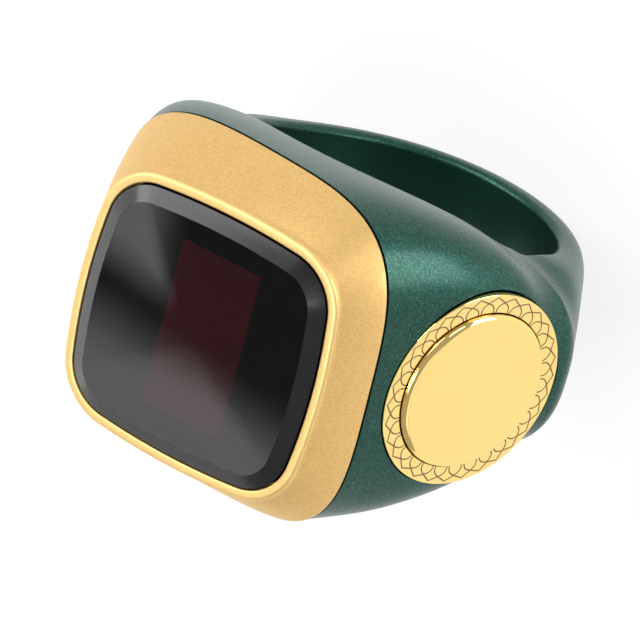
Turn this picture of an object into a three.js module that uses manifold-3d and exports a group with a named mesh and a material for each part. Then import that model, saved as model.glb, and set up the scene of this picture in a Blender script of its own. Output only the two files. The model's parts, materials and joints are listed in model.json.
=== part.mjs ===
// A finger counter built like a signet ring: a metal ring body with a gold bezel round a bevelled glass,
// and one round push button on its shoulder. Millimetres, +Z up out of the display.
// The origin is the centre of the finger bore, +Y is the finger axis and +X is the button's side.
import * as THREE from "three";
import { mergeVertices } from "three/addons/utils/BufferGeometryUtils.js";
import Module from "manifold-3d";

const wasm = await Module();
wasm.setup();

// Finger bore and shank
const boreRadius = 10;
const rimRound = 0.45;
const shankWall = 2.3;

// Shoulders, seen along the finger axis: a leaning flank that carries the button, and a rounded lower corner
const flankTilt = THREE.MathUtils.degToRad(21.2);
const buttonX = 12.91;
const buttonZ = 9.93;
const flankMargin = 0.05;
const shoulderRound = 1.6;

// Half width of the body along the finger, which flares from the shank up to the head
const flareSetBack = 0.26;
const flareSpread = 3.58;
const flareHeight = 5.4;
const flareLength = 8;

// How the flank rolls into the side faces: a large power is a tight corner
const shankPower = 2.8;
const flankPowerRise = 1.8;
const flankPowerHeight = 6.2;
const flankPowerLength = 1.6;
const headPowerFall = 1;
const headPowerHeight = 14;
const headPowerLength = 2.5;
const cornerReach = 11;
const reachHeight = 1.5;
const reachLength = 1.5;

// Seam between the body and the bezel: a flat cut that slopes up towards the button
const seamTiltX = THREE.MathUtils.degToRad(10.2);
const seamTiltY = THREE.MathUtils.degToRad(1.72);
const seamSealThickness = 0.15;
const seamSealInset = 0.14;

// Bezel
const bandHeight = 5;
const lipMarginX = 2.52;
const lipMarginY = 1.11;
const lipBowX = 35;
const lipBowY = 45;
const lipCorner = 3.23;
const lipWidth = 0.64;
const lipRound = 0.26;
const bandCrown = 0.12;
const ledgeThickness = 0.4;
const ledgeWidth = 0.5;
const spigotThickness = 0.6;
const spigotDepth = 0.6;
const spigotSlope = 0.8;
const cavityMarginX = 0.68;
const cavityMarginY = 1.29;
const cavityBow = 28;
const cavityCorner = 5;

// Display
const glassGap = 0.2;
const glassStandProud = 0.5;
const glassThickness = 1.7;
const glassBevelWidth = 1.0;
const glassBevelHeight = 0.8;
const glassEdgeRound = 0.08;
const glassSealThickness = 0.14;
const panelWidth = 11.2;
const panelLength = 13.4;
const panelCoverLength = 12;
const panelThickness = 1.1;
const cushionThickness = 0.4;
const cushionBorder = 1.6;
const carrierThickness = 0.6;
const carrierFootRadius = 0.6;
const carrierFootX = 5.6;
const carrierFootY = 4.6;
const flexThickness = 0.15;
const displayFlexWidth = 5;
const displayFlexTail = 0.9;

// Head cavity, cell and board
const floorWall = 1.2;
const cellRoom = 3;
const chipRoom = 1.79;
const lowerCavityX = 8;
const lowerCavityY = 6.9;
const lowerCavityCorner = 2;
const boardThickness = 0.7;
const boardScrewInset = 1.6;
const boardScrewSpread = 3.5;
const processorHalf = 2;
const processorHeight = 0.75;
const processorX = -1.6;
const processorY = 0.6;
const powerChipHalf = 1;
const powerChipHeight = 0.6;
const powerChipX = 3;
const powerChipY = 2.4;
const crystalHalfX = 1;
const crystalHalfY = 0.6;
const crystalHeight = 0.55;
const crystalX = 3;
const crystalY = -1.4;
const antennaHalfX = 1.6;
const antennaHalfY = 0.8;
const antennaHeight = 0.8;
const antennaY = 6;
const cellX = -3.3;
const cellY = 1.3;
const cellWidth = 7.6;
const cellLength = 9.8;
const padThickness = 0.3;

// Vibration motor
const motorX = 4;
const motorY = 1.4;
const motorRadius = 2.9;
const motorHeight = 2.1;
const motorWall = 0.26;
const motorShaftRadius = 0.35;
const rotorRadius = 2.4;
const rotorThickness = 0.95;

// Button, along its own axis from the flank inwards
const trimRadius = 6.25;
const trimThickness = 1;
const trimBoreGap = 0.13;
const recessGap = 0.27;
const trimSealThickness = 0.15;
const capRadius = 4.98;
const capProud = 0.35;
const capThickness = 1;
const capEdgeRound = 0.32;
const capTravel = 0.4;
const stemRadius = 1.3;
const guideRadius = 4.6;
const guideTop = 1.3;
const guideThickness = 1.6;
const guideBoreGap = 0.1;
const springPocketRadius = 2.6;
const springPocketDepth = 0.6;
const springRadius = 2;
const springWire = 0.24;
const springTurns = 2.5;
const ringGrooveDepth = 0.35;
const ringGrooveAt = 2.2;
const clipThickness = 0.25;
const clipRadius = 1.9;
const switchChamberRadius = 2.6;
const switchSide = 3;
const switchHeight = 0.87;
const switchBoardRadius = 2.45;
const switchBoardThickness = 0.3;
const switchFlexInset = 0.55;
const switchFlexDrop = 0.55;
const switchFlexHalf = 0.9;
const plungerRadius = 0.75;
const plungerLength = 0.72;

// Charging insert in the top of the bore
const coverY = -5.35;
const coverPlugX = 5.15;
const coverPlugWidth = 1.7;
const coverFlangeX = 7.2;
const coverFlangeWidth = 2.8;
const coverFlangeCorner = 1.3;
const coverFlangeThickness = 0.47;
const coverSealThickness = 0.2;
const coverScrewX = 6.3;
const contactX = 1.4;
const contactRadius = 0.5;
const magnetX = 3.6;
const magnetRadius = 0.62;
const magnetHeight = 1.15;

// Small clearances, and how far a cutting solid stands clear of what it cuts
const seatGap = 0.03;
const fitGap = 0.05;
const cutClear = 5;

// Fineness of the curves
const outlineQuarter = 16;
const sideSteps = 3;
const cornerSteps = 7;
const roundSteps = 24;
const smallSteps = 14;
const capSteps = 36;
const capEdgeSteps = 4;
const trimSteps = 48;

// Materials
const greenCoat = material(0x1d5746, 0.38, 0.75);
const goldBlasted = material(0xd9a860, 0.5, 0.95);
const goldPolished = material(0xf2cd7c, 0.12, 1);
const blackGlass = material(0x08080a, 0.04, 0);
const blackPlastic = material(0x17171a, 0.5, 0);
const blackRubber = material(0x101012, 0.85, 0);
const boardGreen = material(0x14402c, 0.6, 0);
const steel = material(0xb9bcc0, 0.3, 1);
const foilSilver = material(0xa8abb0, 0.35, 0.9);
const panelBlack = material(0x1a0d10, 0.15, 0);
const flexAmber = material(0xa8651c, 0.5, 0);
const chipBlack = material(0x1b1b1d, 0.55, 0);
const ceramicWhite = material(0xd8d4c8, 0.6, 0);
const foamGrey = material(0x4a4a4e, 0.95, 0);

function material(color, roughness, metalness) {
  return new THREE.MeshStandardMaterial({ color, roughness, metalness });
}

// Solids: closed geometry to a solid and back

function solidFrom(geometry) {
  const bare = geometry.clone();
  bare.deleteAttribute("normal");
  bare.deleteAttribute("uv");
  const merged = mergeVertices(bare, 1e-4);
  const mesh = new wasm.Mesh({
    numProp: 3,
    vertProperties: new Float32Array(merged.attributes.position.array),
    triVerts: new Uint32Array(merged.index.array),
  });
  return new wasm.Manifold(mesh);
}

function geometryFrom(solid) {
  const mesh = solid.getMesh();
  const geometry = new THREE.BufferGeometry();
  geometry.setAttribute("position", new THREE.BufferAttribute(new Float32Array(mesh.vertProperties), 3));
  geometry.setIndex(new THREE.BufferAttribute(new Uint32Array(mesh.triVerts), 1));
  geometry.computeVertexNormals();
  return geometry;
}

function cut(geometry, ...tools) {
  return geometryFrom(tools.reduce((rest, tool) => rest.subtract(solidFrom(tool)), solidFrom(geometry)));
}

function join(...pieces) {
  return geometryFrom(pieces.slice(1).reduce((sum, piece) => sum.add(solidFrom(piece)), solidFrom(pieces[0])));
}

// Basic forms

function shapeOf(points, holes = []) {
  const shape = new THREE.Shape(points.map(([x, y]) => new THREE.Vector2(x, y)));
  for (const hole of holes) {
    shape.holes.push(new THREE.Path(hole.map(([x, y]) => new THREE.Vector2(x, y))));
  }
  return shape;
}

function plate(points, low, high, holes = []) {
  const extrusion = new THREE.ExtrudeGeometry(shapeOf(points, holes), { depth: high - low, bevelEnabled: false });
  return extrusion.translate(0, 0, low);
}

function roundedRectangle(halfX, halfY, corner, x = 0, y = 0, steps = 4) {
  const points = [];
  const centres = [
    [halfX - corner, halfY - corner],
    [corner - halfX, halfY - corner],
    [corner - halfX, corner - halfY],
    [halfX - corner, corner - halfY],
  ];
  centres.forEach(([cx, cy], quarter) => {
    for (let i = 0; i <= steps; i++) {
      const angle = ((quarter + i / steps) * Math.PI) / 2;
      points.push([x + cx + corner * Math.cos(angle), y + cy + corner * Math.sin(angle)]);
    }
  });
  return points;
}

function block(halfX, halfY, low, high, x = 0, y = 0) {
  return new THREE.BoxGeometry(2 * halfX, 2 * halfY, high - low).translate(x, y, (low + high) / 2);
}

function circle(radius, x = 0, y = 0, steps = roundSteps) {
  return Array.from({ length: steps }, (_, i) => {
    const angle = (i / steps) * 2 * Math.PI;
    return [x + radius * Math.cos(angle), y + radius * Math.sin(angle)];
  });
}

function disc(radius, low, high, x = 0, y = 0, steps = roundSteps) {
  return turned([[0, low], [radius, low], [radius, high], [0, high]], steps).translate(x, y, 0);
}

// A profile of [radius, height] pairs turned about Z. It starts and ends on the axis, or closes on itself.
function turned(profile, steps = roundSteps) {
  const points = profile.map(([radius, height]) => new THREE.Vector2(radius, height));
  return new THREE.LatheGeometry(points, steps).rotateX(Math.PI / 2);
}

// Rings of points joined into one closed surface. A ring list that comes round again makes a hollow band.
function skin(rings, closesOnItself) {
  const count = rings[0].length;
  const positions = rings.flat(2);
  const index = [];
  const last = closesOnItself ? rings.length : rings.length - 1;
  for (let i = 0; i < last; i++) {
    const next = (i + 1) % rings.length;
    for (let k = 0; k < count; k++) {
      const after = (k + 1) % count;
      const a = i * count + k;
      const b = i * count + after;
      const c = next * count + after;
      const d = next * count + k;
      index.push(a, b, c, a, c, d);
    }
  }
  if (!closesOnItself) {
    capRing(rings[0], 0, positions, index, true);
    capRing(rings[rings.length - 1], (rings.length - 1) * count, positions, index, false);
  }
  const geometry = new THREE.BufferGeometry();
  geometry.setAttribute("position", new THREE.Float32BufferAttribute(positions, 3));
  geometry.setIndex(index);
  geometry.computeVertexNormals();
  return geometry;
}

function capRing(ring, start, positions, index, faceDown) {
  const middle = positions.length / 3;
  const sum = ring.reduce((total, point) => total.map((value, axis) => value + point[axis]), [0, 0, 0]);
  positions.push(...sum.map((value) => value / ring.length));
  for (let k = 0; k < ring.length; k++) {
    const after = (k + 1) % ring.length;
    index.push(middle, start + (faceDown ? after : k), start + (faceDown ? k : after));
  }
}

// Heights in the head, stacked from the floor over the bore up to the glass

const floorHeight = boreRadius + floorWall;
const coverTop = floorHeight + coverSealThickness + 2 * seatGap + coverFlangeThickness;
const boardHeight = floorHeight + cellRoom;
const boardTop = boardHeight + boardThickness;
const carrierBottom = boardTop + chipRoom;
const carrierTop = carrierBottom + carrierThickness;
const cushionBottom = carrierTop + seatGap;
const panelBottom = cushionBottom + cushionThickness + seatGap;
const panelTop = panelBottom + panelThickness;
const glassBottom = panelTop + fitGap;
const glassTop = glassBottom + glassThickness;
const lipHeight = glassTop - glassStandProud;
const ledgeHeight = glassBottom - glassSealThickness - 2 * seatGap;
const spigotTop = ledgeHeight - ledgeThickness - spigotSlope;
const seamHeight = lipHeight - bandHeight;

// Display opening and cavity, set by the panel

const lipHalfX = panelWidth / 2 + lipMarginX;
const lipHalfY = panelLength / 2 + lipMarginY;
const cavityHalfX = lipHalfX + cavityMarginX;
const cavityHalfY = lipHalfY + cavityMarginY;
const boardScrewY = cavityHalfY - boardScrewInset;

// Shape of the body

const flareMiddleWidth = lipHalfY - flareSetBack;
const shankRadius = boreRadius + shankWall;
const recessRadius = trimRadius + recessGap;
const flankOut = [Math.cos(flankTilt), Math.sin(flankTilt)];
const flankDown = [Math.sin(flankTilt), -Math.cos(flankTilt)];
const flankEnd = [
  buttonX + flankDown[0] * (recessRadius + flankMargin),
  buttonZ + flankDown[1] * (recessRadius + flankMargin),
];
const shoulderCentre = [flankEnd[0] - flankOut[0] * shoulderRound, flankEnd[1] - flankOut[1] * shoulderRound];
const underTilt =
  Math.atan2(shoulderCentre[1], shoulderCentre[0]) -
  Math.acos((shankRadius - shoulderRound) / Math.hypot(...shoulderCentre));

function flankHalfWidth(z) {
  return buttonX - (z - buttonZ) * Math.tan(flankTilt);
}

function bodyHalfLength(z) {
  return flareMiddleWidth + flareSpread * Math.tanh((z - flareHeight) / flareLength);
}

function softStep(z, height, length) {
  return 0.5 + 0.5 * Math.tanh((z - height) / length);
}

function cornerPower(z) {
  const rise = flankPowerRise * softStep(z, flankPowerHeight, flankPowerLength);
  return shankPower + rise - headPowerFall * softStep(z, headPowerHeight, headPowerLength);
}

function seamAt(x, y) {
  return seamHeight + Math.tan(seamTiltX) * x + Math.tan(seamTiltY) * y;
}

// Distance inside an arc and the straight lines that leave its two ends
function depthUnderArc(x, z, centre, radius, from, to) {
  const dx = x - centre[0];
  const dz = z - centre[1];
  const angle = Math.atan2(dz, dx);
  const off = angle > to ? angle - to : Math.max(0, from - angle);
  return radius - Math.hypot(dx, dz) * Math.cos(off);
}

// Depth of a point below the outline that the body shows along the finger axis
function outlineDepth(x, z) {
  const side = Math.abs(x);
  return Math.min(
    depthUnderArc(side, z, shoulderCentre, shoulderRound, underTilt, flankTilt),
    depthUnderArc(side, z, [0, 0], shankRadius, -Math.PI / 2, underTilt),
  );
}

// Half length of the body along the finger at a point of its side view. The rounding starts at the bore's rim.
function sideFace(x, z) {
  const rim = (boreRadius + rimRound) / Math.hypot(x, z);
  const thickness = outlineDepth(x * rim, z * rim);
  const reach = thickness + Math.max(0, cornerReach - thickness) * softStep(z, reachHeight, reachLength);
  const share = Math.min(1, Math.max(0, 1 - outlineDepth(x, z) / reach));
  const power = cornerPower(z);
  return bodyHalfLength(z) * Math.max(0, 1 - share ** power) ** (1 / power);
}

// Outline of the body's right half, from the middle of the top to the bottom of the shank
function bodyOutline() {
  const top = seamAt(flankHalfWidth(seamHeight), flankHalfWidth(seamHeight)) + 0.8;
  const points = [];
  const topHalf = flankHalfWidth(top);
  for (let i = 0; i < 3; i++) {
    points.push([(topHalf * i) / 3, top]);
  }
  for (let i = 0; i <= 7; i++) {
    const z = top + ((flankEnd[1] - top) * i) / 7;
    points.push([flankHalfWidth(z), z]);
  }
  for (let i = 1; i <= 6; i++) {
    const angle = flankTilt + ((underTilt - flankTilt) * i) / 6;
    points.push([
      shoulderCentre[0] + shoulderRound * Math.cos(angle),
      shoulderCentre[1] + shoulderRound * Math.sin(angle),
    ]);
  }
  const shankStart = [shankRadius * Math.cos(underTilt), shankRadius * Math.sin(underTilt)];
  const corner = points[points.length - 1];
  for (let i = 1; i <= 2; i++) {
    points.push([corner[0] + ((shankStart[0] - corner[0]) * i) / 3, corner[1] + ((shankStart[1] - corner[1]) * i) / 3]);
  }
  for (let i = 0; i <= 12; i++) {
    const angle = underTilt + ((-Math.PI / 2 - underTilt) * i) / 12;
    points.push([shankRadius * Math.cos(angle), shankRadius * Math.sin(angle)]);
  }
  return points;
}

// One slice of the body in the plane through the finger axis and a point of its outline
function bodySlice([x, z]) {
  const reach = Math.hypot(x, z);
  const [dirX, dirZ] = [x / reach, z / reach];
  const start = boreRadius + rimRound;
  const steps = 7;
  const half = [];
  for (let i = 0; i <= steps; i++) {
    const share = i === steps ? 0.9995 : 1 - (1 - i / steps) ** 2.2;
    const distance = start + (reach - start) * share;
    half.push([distance, sideFace(dirX * distance, dirZ * distance)]);
  }
  const rim = half[0][1];
  const rounds = 2;
  const edge = Array.from({ length: rounds }, (_, i) => {
    const turn = ((i + 1) / rounds) * (Math.PI / 2);
    return [start - rimRound * Math.sin(turn), rim - rimRound * (1 - Math.cos(turn))];
  });
  const upper = [...edge].reverse().concat(half);
  const section = upper.concat([...upper].reverse().map(([distance, y]) => [distance, -y]));
  return section.map(([distance, y]) => [dirX * distance, y, dirZ * distance]);
}

function bodyBlank() {
  const right = bodyOutline();
  const left = right
    .slice(1, -1)
    .reverse()
    .map(([x, z]) => [-x, z]);
  return skin([...right, ...left].map(bodySlice), true);
}

// Everything above the seam, as a block with a sloping underside
function aboveSeam() {
  const reach = buttonX + cutClear;
  const corners = [
    [-reach, -reach],
    [reach, -reach],
    [reach, reach],
    [-reach, reach],
  ];
  return skin([corners.map(([x, y]) => [x, y, seamAt(x, y)]), corners.map(([x, y]) => [x, y, lipHeight + cutClear])], false);
}

// The point where the seam meets the body's surface, for one turn angle of the outline
function seamPoint(turn) {
  const [signX, signY] = [Math.sign(Math.cos(turn)), Math.sign(Math.sin(turn))];
  let point = [0, 0];
  for (let pass = 0; pass < 10; pass++) {
    const z = seamAt(...point);
    const power = cornerPower(z);
    const half = flankHalfWidth(z);
    const middle = Math.max(0, 1 - (half * Math.cos(flankTilt)) / cornerReach);
    const share = Math.max(Math.abs(Math.cos(turn)) ** (2 / power), middle);
    const x = half - ((1 - share) * cornerReach) / Math.cos(flankTilt);
    const y = bodyHalfLength(z) * Math.max(0, 1 - share ** power) ** (1 / power);
    point = [signX * Math.max(0, x), signY * y];
  }
  return point;
}

// Outline of the body where the seam cuts it
function seamOutline() {
  const count = 4 * outlineQuarter;
  const points = [];
  for (let i = 0; i < count; i++) {
    const quarter = i % outlineQuarter === 0 ? (i / outlineQuarter) % 2 : -1;
    const turn = (i / count) * 2 * Math.PI;
    const [x, y] = seamPoint(turn + (quarter === 0 ? 1e-9 : 0));
    if (quarter >= 0 || (Math.abs(x) > 0.3 && Math.abs(y) > 0.3)) {
      points.push([quarter === 1 ? 0 : x, quarter === 0 ? 0 : y]);
    }
  }
  return points;
}

function mirrored(quarter) {
  const half = quarter.concat(
    quarter
      .slice(0, -1)
      .reverse()
      .map(([x, y]) => [-x, y]),
  );
  return half.concat(
    half
      .slice(1, -1)
      .reverse()
      .map(([x, y]) => [x, -y]),
  );
}

// A closed outline moved inwards by a distance, point by point
function inset(points, distance) {
  return points.map(([x, y], i) => {
    const [x0, y0] = points[(i + points.length - 1) % points.length];
    const [x1, y1] = points[(i + 1) % points.length];
    const length = Math.hypot(x1 - x0, y1 - y0);
    return [x - ((y1 - y0) / length) * distance, y + ((x1 - x0) / length) * distance];
  });
}

// A rectangle with bowed sides and round corners: the outline of the display opening
function bowedOutline(halfX, halfY, bowX, bowY, corner) {
  const sideX = [halfX - bowX, 0];
  const sideY = [0, halfY - bowY];
  const apart = Math.hypot(sideX[0] - sideY[0], sideX[1] - sideY[1]);
  const [reachX, reachY] = [bowX - corner, bowY - corner];
  const along = (apart ** 2 + reachX ** 2 - reachY ** 2) / (2 * apart);
  const across = Math.sqrt(reachX ** 2 - along ** 2);
  const unit = [(sideY[0] - sideX[0]) / apart, (sideY[1] - sideX[1]) / apart];
  const centre = [sideX[0] + unit[0] * along + unit[1] * across, sideX[1] + unit[1] * along - unit[0] * across];
  const other = [sideX[0] + unit[0] * along - unit[1] * across, sideX[1] + unit[1] * along + unit[0] * across];
  const [cx, cy] = centre[0] + centre[1] > other[0] + other[1] ? centre : other;
  const first = Math.atan2(cy - sideX[1], cx - sideX[0]);
  const second = Math.atan2(cy - sideY[1], cx - sideY[0]);
  const quarter = [];
  for (let i = 0; i < sideSteps; i++) {
    const angle = (first * i) / sideSteps;
    quarter.push([sideX[0] + bowX * Math.cos(angle), sideX[1] + bowX * Math.sin(angle)]);
  }
  for (let i = 0; i <= cornerSteps; i++) {
    const angle = first + ((second - first) * i) / cornerSteps;
    quarter.push([cx + corner * Math.cos(angle), cy + corner * Math.sin(angle)]);
  }
  for (let i = 1; i <= sideSteps; i++) {
    const angle = second + ((Math.PI / 2 - second) * i) / sideSteps;
    quarter.push([sideY[0] + bowY * Math.cos(angle), sideY[1] + bowY * Math.sin(angle)]);
  }
  return mirrored(quarter.map(([x, y], i) => [i === quarter.length - 1 ? 0 : x, i === 0 ? 0 : y]));
}

function displayOutline(grow) {
  return bowedOutline(lipHalfX + grow, lipHalfY + grow, lipBowX + grow, lipBowY + grow, lipCorner + grow);
}

// The point of an outline in the same direction from the middle as a given point
function facing(outline, [px, py]) {
  const wanted = Math.atan2(py, px);
  for (let i = 0; i < outline.length; i++) {
    const [ax, ay] = outline[i];
    const [bx, by] = outline[(i + 1) % outline.length];
    const [dx, dy] = [Math.cos(wanted), Math.sin(wanted)];
    const sideA = dx * ay - dy * ax;
    const sideB = dx * by - dy * bx;
    const ahead = dx * (ax + bx) + dy * (ay + by) > 0;
    if (ahead && sideA <= 1e-9 && sideB > 1e-9) {
      const share = sideA / (sideA - sideB);
      return [ax + (bx - ax) * share, ay + (by - ay) * share];
    }
  }
  return outline[0];
}

const seamEdge = seamOutline();
const cavityEdge = bowedOutline(cavityHalfX, cavityHalfY, cavityBow, cavityBow, cavityCorner);

// Button frame: its own Z runs out of the flank, its own Y up the flank and its own X along the finger

const buttonFrame = new THREE.Group();
buttonFrame.position.set(buttonX, 0, buttonZ);
buttonFrame.quaternion.setFromRotationMatrix(
  new THREE.Matrix4().makeBasis(
    new THREE.Vector3(0, 1, 0),
    new THREE.Vector3(-flankDown[0], 0, -flankDown[1]),
    new THREE.Vector3(flankOut[0], 0, flankOut[1]),
  ),
);
buttonFrame.updateMatrix();

function onFlank(geometry) {
  return geometry.applyMatrix4(buttonFrame.matrix);
}

const recessDepth = trimThickness + trimSealThickness + 2 * seatGap;
const guideBottom = guideTop + guideThickness;
const guidePocketDepth = guideBottom + seatGap;
const stemLength = guideBottom + seatGap + clipThickness + 0.22;
const plungerTop = stemLength + seatGap;
const switchTop = plungerTop + capTravel + 0.02;
const switchBottom = switchTop + switchHeight;
const chamberDepth = switchBottom + switchBoardThickness + 2 * seatGap;

// Screws

const threadRadius = 0.35;
const screwHeadRadius = 0.6;
const screwHeadHeight = 0.45;
const boardScrewLength = 2.2;
const coverScrewLength = 1.5;

const boardScrews = [
  [0, boardScrewY],
  [-boardScrewSpread, -boardScrewY],
  [boardScrewSpread, -boardScrewY],
];
const coverScrews = [
  [-coverScrewX, coverY],
  [coverScrewX, coverY],
];

function ringBody() {
  const pilots = [
    ...boardScrews.map(([x, y]) =>
      disc(threadRadius + fitGap, boardHeight - boardScrewLength - 0.2, boardHeight + 1, x, y, smallSteps),
    ),
    ...coverScrews.map(([x, y]) =>
      disc(threadRadius + fitGap, floorHeight - coverScrewLength - 0.2, floorHeight + 1, x, y, smallSteps),
    ),
  ];
  const wireSlot = block(0.45, 1.2, floorHeight - 1.3, floorHeight + 0.1, lowerCavityX - switchFlexInset);
  return cut(
    bodyBlank(),
    aboveSeam(),
    plate(cavityEdge, boardHeight - seatGap, lipHeight),
    spigotGroove(),
    plate(roundedRectangle(lowerCavityX, lowerCavityY, lowerCavityCorner), floorHeight, lipHeight),
    onFlank(disc(recessRadius, -recessDepth, cutClear, 0, 0, trimSteps)),
    onFlank(disc(guideRadius + fitGap, -guidePocketDepth, 1)),
    onFlank(disc(switchChamberRadius, -chamberDepth, 1)),
    block(coverPlugX + fitGap, coverPlugWidth / 2 + fitGap, boreRadius / 2, floorHeight + 0.1, 0, coverY),
    wireSlot,
    ...pilots,
  );
}

// Room for the foot of the bezel inside the body's rim
function spigotGroove() {
  const inner = inset(cavityEdge, spigotThickness + 3 * fitGap);
  const ring = (outline, height) => outline.map(([x, y]) => [x, y, height(x, y)]);
  const low = (x, y) => seamAt(x, y) - spigotDepth - fitGap;
  const high = () => lipHeight;
  return skin([ring(cavityEdge, low), ring(cavityEdge, high), ring(inner, high), ring(inner, low)], true);
}

// Bezel: one closed band whose section runs up the outside, over the lip and down inside
function bezel() {
  const underside = (x, y) => seamAt(x, y) + seamSealThickness + 2 * seatGap;
  const foot = (x, y) => seamAt(x, y) - spigotDepth;
  const lip = displayOutline(0);
  const ridge = displayOutline(lipWidth);
  const ledge = displayOutline(-ledgeWidth);
  const spigotOuter = inset(cavityEdge, fitGap);
  const spigotInner = inset(cavityEdge, fitGap + spigotThickness);
  const over = (outline, z) => seamEdge.map((point) => [...facing(outline, point), z]);
  const sloping = (outline, height) =>
    seamEdge.map((point) => {
      const [x, y] = facing(outline, point);
      return [x, y, height(x, y)];
    });
  const low = seamEdge.map(([x, y]) => [x, y, underside(x, y)]);
  const high = over(ridge, lipHeight - lipRound);
  const middle = low.map(([x, y, z], i) => {
    const [hx, hy, hz] = high[i];
    const reach = Math.hypot(x, y);
    return [(x + hx) / 2 + (bandCrown * x) / reach, (y + hy) / 2 + (bandCrown * y) / reach, (z + hz) / 2];
  });
  const softened = lipRound * (1 - Math.SQRT1_2);
  return skin(
    [
      low,
      middle,
      high,
      over(displayOutline(lipWidth - softened), lipHeight - softened),
      over(displayOutline(lipWidth - lipRound), lipHeight),
      over(displayOutline(lipRound / 2), lipHeight),
      over(lip, lipHeight - lipRound / 2),
      over(lip, ledgeHeight),
      over(ledge, ledgeHeight),
      over(ledge, ledgeHeight - ledgeThickness),
      over(spigotInner, spigotTop),
      sloping(spigotInner, foot),
      sloping(spigotOuter, foot),
      sloping(spigotOuter, underside),
    ],
    true,
  );
}

function bezelSeal() {
  const outer = inset(seamEdge, seamSealInset);
  const inner = seamEdge.map((point) => facing(inset(cavityEdge, -fitGap), point));
  const ring = (outline, raise) => outline.map(([x, y]) => [x, y, seamAt(x, y) + seatGap + raise]);
  return skin([ring(outer, 0), ring(outer, seamSealThickness), ring(inner, seamSealThickness), ring(inner, 0)], true);
}

function displayGlass() {
  const ring = (grow, z) => displayOutline(grow - glassGap).map(([x, y]) => [x, y, z]);
  const shoulder = glassTop - glassBevelHeight;
  return skin(
    [
      ring(-glassEdgeRound, glassBottom),
      ring(0, glassBottom + glassEdgeRound),
      ring(0, shoulder),
      ring(-glassBevelWidth * 0.48, shoulder + glassBevelHeight * 0.62),
      ring(-glassBevelWidth, glassTop),
    ],
    false,
  );
}

function glassSeal() {
  return plate(
    displayOutline(-glassGap - fitGap),
    ledgeHeight + seatGap,
    glassBottom - seatGap,
    [displayOutline(fitGap - ledgeWidth)],
  );
}

function oledPanel() {
  const step = panelThickness / 2;
  return join(
    block(panelWidth / 2, panelLength / 2, panelBottom, panelBottom + step),
    block(panelWidth / 2, panelCoverLength / 2, panelBottom + step - 0.01, panelTop, 0, (panelLength - panelCoverLength) / 2),
  );
}

function displayCushion() {
  const [halfX, halfY] = [panelWidth / 2 - 0.2, panelLength / 2 - 0.2];
  return plate(roundedRectangle(halfX, halfY, 0.8), cushionBottom, panelBottom - seatGap, [
    roundedRectangle(halfX - cushionBorder, halfY - cushionBorder, 0.8),
  ]);
}

function displayCarrier() {
  const edge = inset(cavityEdge, spigotThickness + 4 * fitGap);
  const notch = block(displayFlexWidth / 2 + 0.5, 2.5, carrierBottom - 1, carrierTop + 1, 0, -panelLength / 2 - 1.6);
  const window = plate(roundedRectangle(2.2, 3, 0.8), carrierBottom - 1, carrierTop + 1);
  const feet = [-1, 1].flatMap((sx) =>
    [-1, 1].map((sy) =>
      disc(carrierFootRadius, boardTop + seatGap, carrierBottom + 0.1, sx * carrierFootX, sy * carrierFootY, smallSteps),
    ),
  );
  return join(cut(plate(edge, carrierBottom, carrierTop), notch, window), ...feet);
}

// A thin strip bent along a path in one plane, extruded to its width
function strip(path, thickness, width) {
  const sides = path.map(([x, y], i) => {
    const [x0, y0] = path[Math.max(0, i - 1)];
    const [x1, y1] = path[Math.min(path.length - 1, i + 1)];
    const length = Math.hypot(x1 - x0, y1 - y0);
    return [x, y, (-(y1 - y0) / length) * (thickness / 2), ((x1 - x0) / length) * (thickness / 2)];
  });
  const left = sides.map(([x, y, dx, dy]) => [x + dx, y + dy]);
  const right = sides.map(([x, y, dx, dy]) => [x - dx, y - dy]).reverse();
  const extrusion = new THREE.ExtrudeGeometry(shapeOf(left.concat(right)), { depth: width, bevelEnabled: false });
  return extrusion.translate(0, 0, -width / 2);
}

function displayFlex() {
  const start = panelBottom + panelThickness / 4;
  const end = boardTop + seatGap + flexThickness / 2;
  const bend = (start - end) / 2;
  const path = [[-panelLength / 2 - seatGap, start]];
  for (let i = 0; i <= 10; i++) {
    const turn = Math.PI / 2 + (Math.PI * i) / 10;
    path.push([-panelLength / 2 - flexThickness + bend * 0.75 * Math.cos(turn), end + bend + bend * Math.sin(turn)]);
  }
  path.push([-panelLength / 2 + displayFlexTail, end]);
  return strip(path, flexThickness, displayFlexWidth).rotateX(Math.PI / 2).rotateZ(Math.PI / 2);
}

function mainBoard() {
  const edge = inset(cavityEdge, spigotThickness + 4 * fitGap);
  const holes = boardScrews.map(([x, y]) => circle(threadRadius + fitGap, x, y, smallSteps));
  return plate(edge, boardHeight, boardTop, holes);
}

// A block that stands on the board
function onBoard(halfX, halfY, height, x, y) {
  return block(halfX, halfY, boardTop + seatGap, boardTop + height, x, y);
}

function battery() {
  const low = floorHeight + fitGap;
  const high = boardHeight - seatGap * 2 - padThickness;
  const corner = 0.9;
  const edge = (inward, z) =>
    roundedRectangle(cellWidth / 2 - inward, cellLength / 2 - inward, corner - inward, cellX, cellY).map(([x, y]) => [x, y, z]);
  const round = 0.35;
  return skin([edge(round, low), edge(0, low + round), edge(0, high - round), edge(round, high)], false);
}

function batteryPad() {
  const low = boardHeight - seatGap - padThickness;
  return plate(
    roundedRectangle(cellWidth / 2 - 0.8, cellLength / 2 - 0.8, 0.6, cellX, cellY),
    low,
    boardHeight - seatGap,
  );
}

function batteryTab() {
  const front = cellY - cellLength / 2;
  const middle = (floorHeight + boardHeight) / 2;
  const path = [
    [front - seatGap - flexThickness / 2 - 0.02, middle],
    [front - seatGap - flexThickness / 2 - 0.02, boardHeight - seatGap * 2],
  ];
  return strip(path, flexThickness, 3).rotateX(Math.PI / 2).rotateZ(Math.PI / 2).translate(cellX, 0, 0);
}

// Vibration motor: a cup over a base plate, a fixed shaft and a half-disc weight that turns on it

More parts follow.
